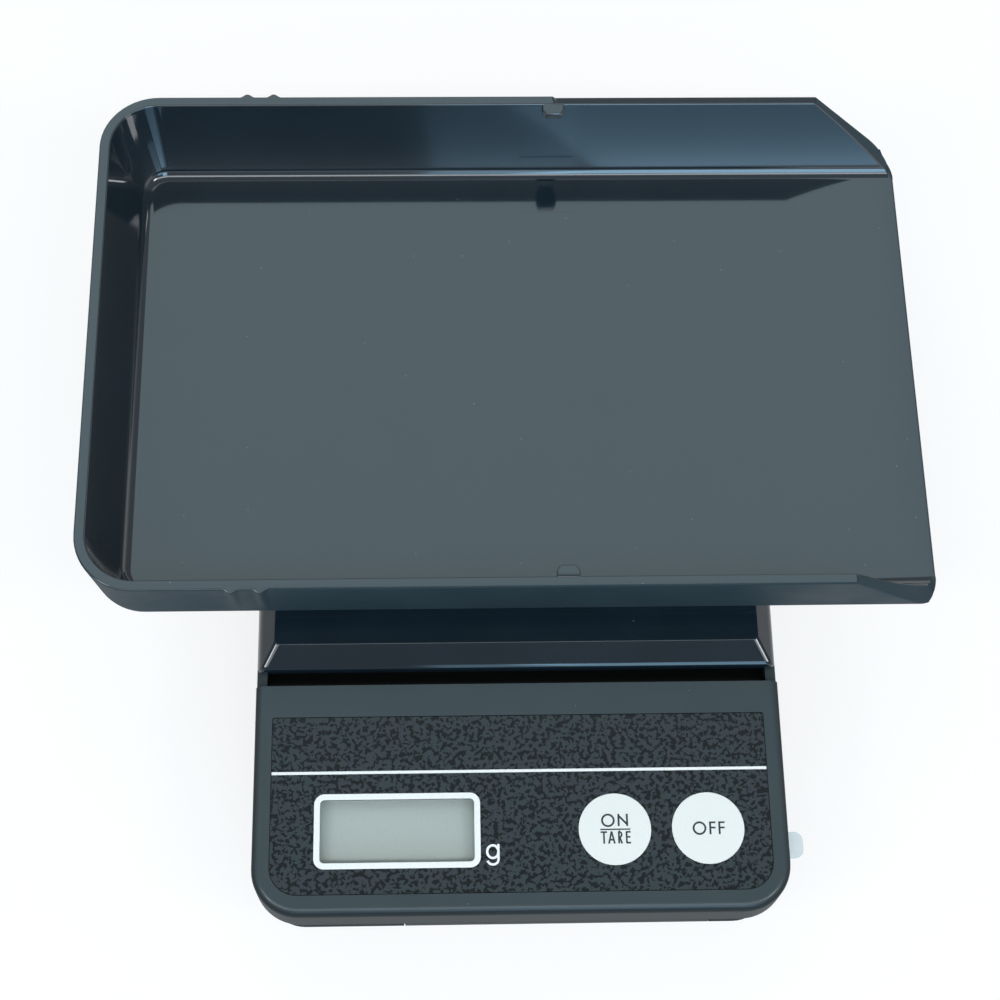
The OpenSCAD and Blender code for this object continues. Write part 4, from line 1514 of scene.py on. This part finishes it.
@dataclass(frozen=True)
class SoftLamp:
    """One soft rectangular lamp: where it hangs and what it faces, in metres, and how bright it is."""

    name: str
    place: Place
    aim: Place
    size: Point
    radiance: float
    colour: str

    def build(self) -> None:
        """Hangs the lamp; its power follows from its face's size and brightness."""
        data = bpy.data.lights.new(self.name, "AREA")
        data.shape = "RECTANGLE"
        data.size, data.size_y = self.size
        data.energy = self.radiance * math.pi * self.size[0] * self.size[1]
        data.color = linear(self.colour)[:3]
        lamp = bpy.data.objects.new(self.name, data)
        lamp.location = self.place
        lamp.rotation_euler = (Vector(self.aim) - Vector(self.place)).to_track_quat("-Z", "Y").to_euler()
        bpy.context.scene.collection.objects.link(lamp)


# What the tall windows face, in metres.
WINDOW_AIM = (0.03, 0.055, 0.022)


@dataclass(frozen=True)
class Studio:
    """A white table under two soft panels, with tall windows in front and a small one on either side."""

    floor_half: float = 6.0
    paper: str = "#f1f1f1"
    glow_share: float = 0.74
    glow: float = 1.06
    glow_colour: str = "#ffffff"
    horizon: float = 0.95
    horizon_span: Point = (0.1, 0.45)
    dome: float = 0.36
    room_colour: str = "#f7fcff"
    lamps: tuple[SoftLamp, ...] = (
        SoftLamp("overhead_panel", (-0.272, 0.93, 1.1), (-0.272, 0.93, 0.0), (1.255, 1.2), 0.98, "#d3f5ff"),
        SoftLamp("front_panel", (0.0, -0.62, 1.1), (0.0, -0.62, 0.0), (1.8, 0.34), 3.6, "#f0f9ff"),
        SoftLamp("window_right", (0.491, -2.478, 1.66), WINDOW_AIM, (0.64, 1.68), 5.3, "#a9dcff"),
        SoftLamp("window_middle", (0.0875, -2.507, 1.66), WINDOW_AIM, (0.25, 1.68), 2.4, "#a9dcff"),
        SoftLamp("window_side", (1.085, -2.06, 0.836), WINDOW_AIM, (0.7, 0.96), 2.4, "#a8d7ff"),
        SoftLamp("left_window", (-0.633, -0.366, 0.722), (0.0, 0.0, 0.02), (0.2, 0.2), 12.0, "#f8fbff"),
        SoftLamp("right_window", (0.633, -0.366, 0.722), (0.0, 0.0, 0.02), (0.2, 0.2), 12.0, "#f8fbff"),
    )

    def build(self) -> None:
        """Makes the floor, the room's light and the lamps."""
        self.make_floor()
        self.make_room()
        for lamp in self.lamps:
            lamp.build()
        log.info("studio: floor, room and %d lamps", len(self.lamps))

    def make_floor(self) -> None:
        """Lays the floor: white to the eye and in reflections, with the scale's shadow kept."""
        mesh = bpy.data.meshes.new("studio_floor")
        half = self.floor_half
        corners = [(-half, -half, 0), (half, -half, 0), (half, half, 0), (-half, half, 0)]
        mesh.from_pydata(corners, [], [(0, 1, 2, 3)])
        floor = bpy.data.objects.new("studio_floor", mesh)
        bpy.context.scene.collection.objects.link(floor)
        mesh.materials.append(self.paper_material())

    def paper_material(self) -> Material:
        """Makes the floor's white paper, which glows where the camera or a mirroring face sees it.

        Returns:
            The new material.
        """
        material = new_material("white studio paper")
        tree = material.node_tree
        paper = add_node(tree, "ShaderNodeBsdfDiffuse", {"Color": linear(self.paper)}).outputs["BSDF"]
        light = {"Color": linear(self.glow_colour), "Strength": self.glow}
        glow = add_node(tree, "ShaderNodeEmission", light).outputs["Emission"]
        path = add_node(tree, "ShaderNodeLightPath").outputs
        rays = {0: path["Is Camera Ray"], 1: path["Is Glossy Ray"]}
        seen = add_node(tree, "ShaderNodeMath", rays, operation="MAXIMUM").outputs[0]
        rays = {0: seen, 1: path["Is Transmission Ray"]}
        seen = add_node(tree, "ShaderNodeMath", rays, operation="MAXIMUM").outputs[0]
        part = {0: seen, 1: self.glow_share}
        share = add_node(tree, "ShaderNodeMath", part, operation="MULTIPLY").outputs[0]
        both = add_node(tree, "ShaderNodeMixShader", {0: share, 1: paper, 2: glow}).outputs["Shader"]
        add_node(tree, "ShaderNodeOutputMaterial", {"Surface": both})
        return material

    def make_room(self) -> None:
        """Fills the room with soft light, pale at the horizon and dimmer overhead."""
        world = bpy.data.worlds.new("room")
        bpy.context.scene.world = world
        world.use_nodes = True
        tree = world.node_tree
        tree.nodes.clear()
        around = add_node(tree, "ShaderNodeTexCoord").outputs["Generated"]
        height = add_node(tree, "ShaderNodeSeparateXYZ", {0: around}).outputs["Z"]
        fall = spread(height, self.horizon_span, (self.horizon, self.dome))
        level = add_node(tree, "ShaderNodeMapRange", fall).outputs["Result"]
        light = {"Color": linear(self.room_colour), "Strength": level}
        soft = add_node(tree, "ShaderNodeBackground", light).outputs["Background"]
        add_node(tree, "ShaderNodeOutputWorld", {"Surface": soft})


def dress_nodes(nodes: dict[str, Piece], finishes: Finishes) -> None:
    """Gives every carried-over node its finish.

    Args:
        nodes: The frame's nodes, by name.
        finishes: The finishes.
    """
    for name, look in NODE_FINISH.items():
        finishes.dress(nodes[name], look)
    log.info("nodes dressed: %d", len(NODE_FINISH))


def main() -> None:
    """Builds the scene."""
    logging.basicConfig(level=logging.INFO, format="%(name)s: %(message)s")
    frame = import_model()
    PhotoCamera().build()
    finishes = Finishes()
    finishes.build()
    dress_nodes(frame["nodes"], finishes)
    Tray().build(finishes)
    Platform().build(finishes)
    Legends().build(finishes)
    Studio().build()
    bpy.context.scene.view_settings.view_transform = "Standard"


if __name__ == "__main__":
    main()
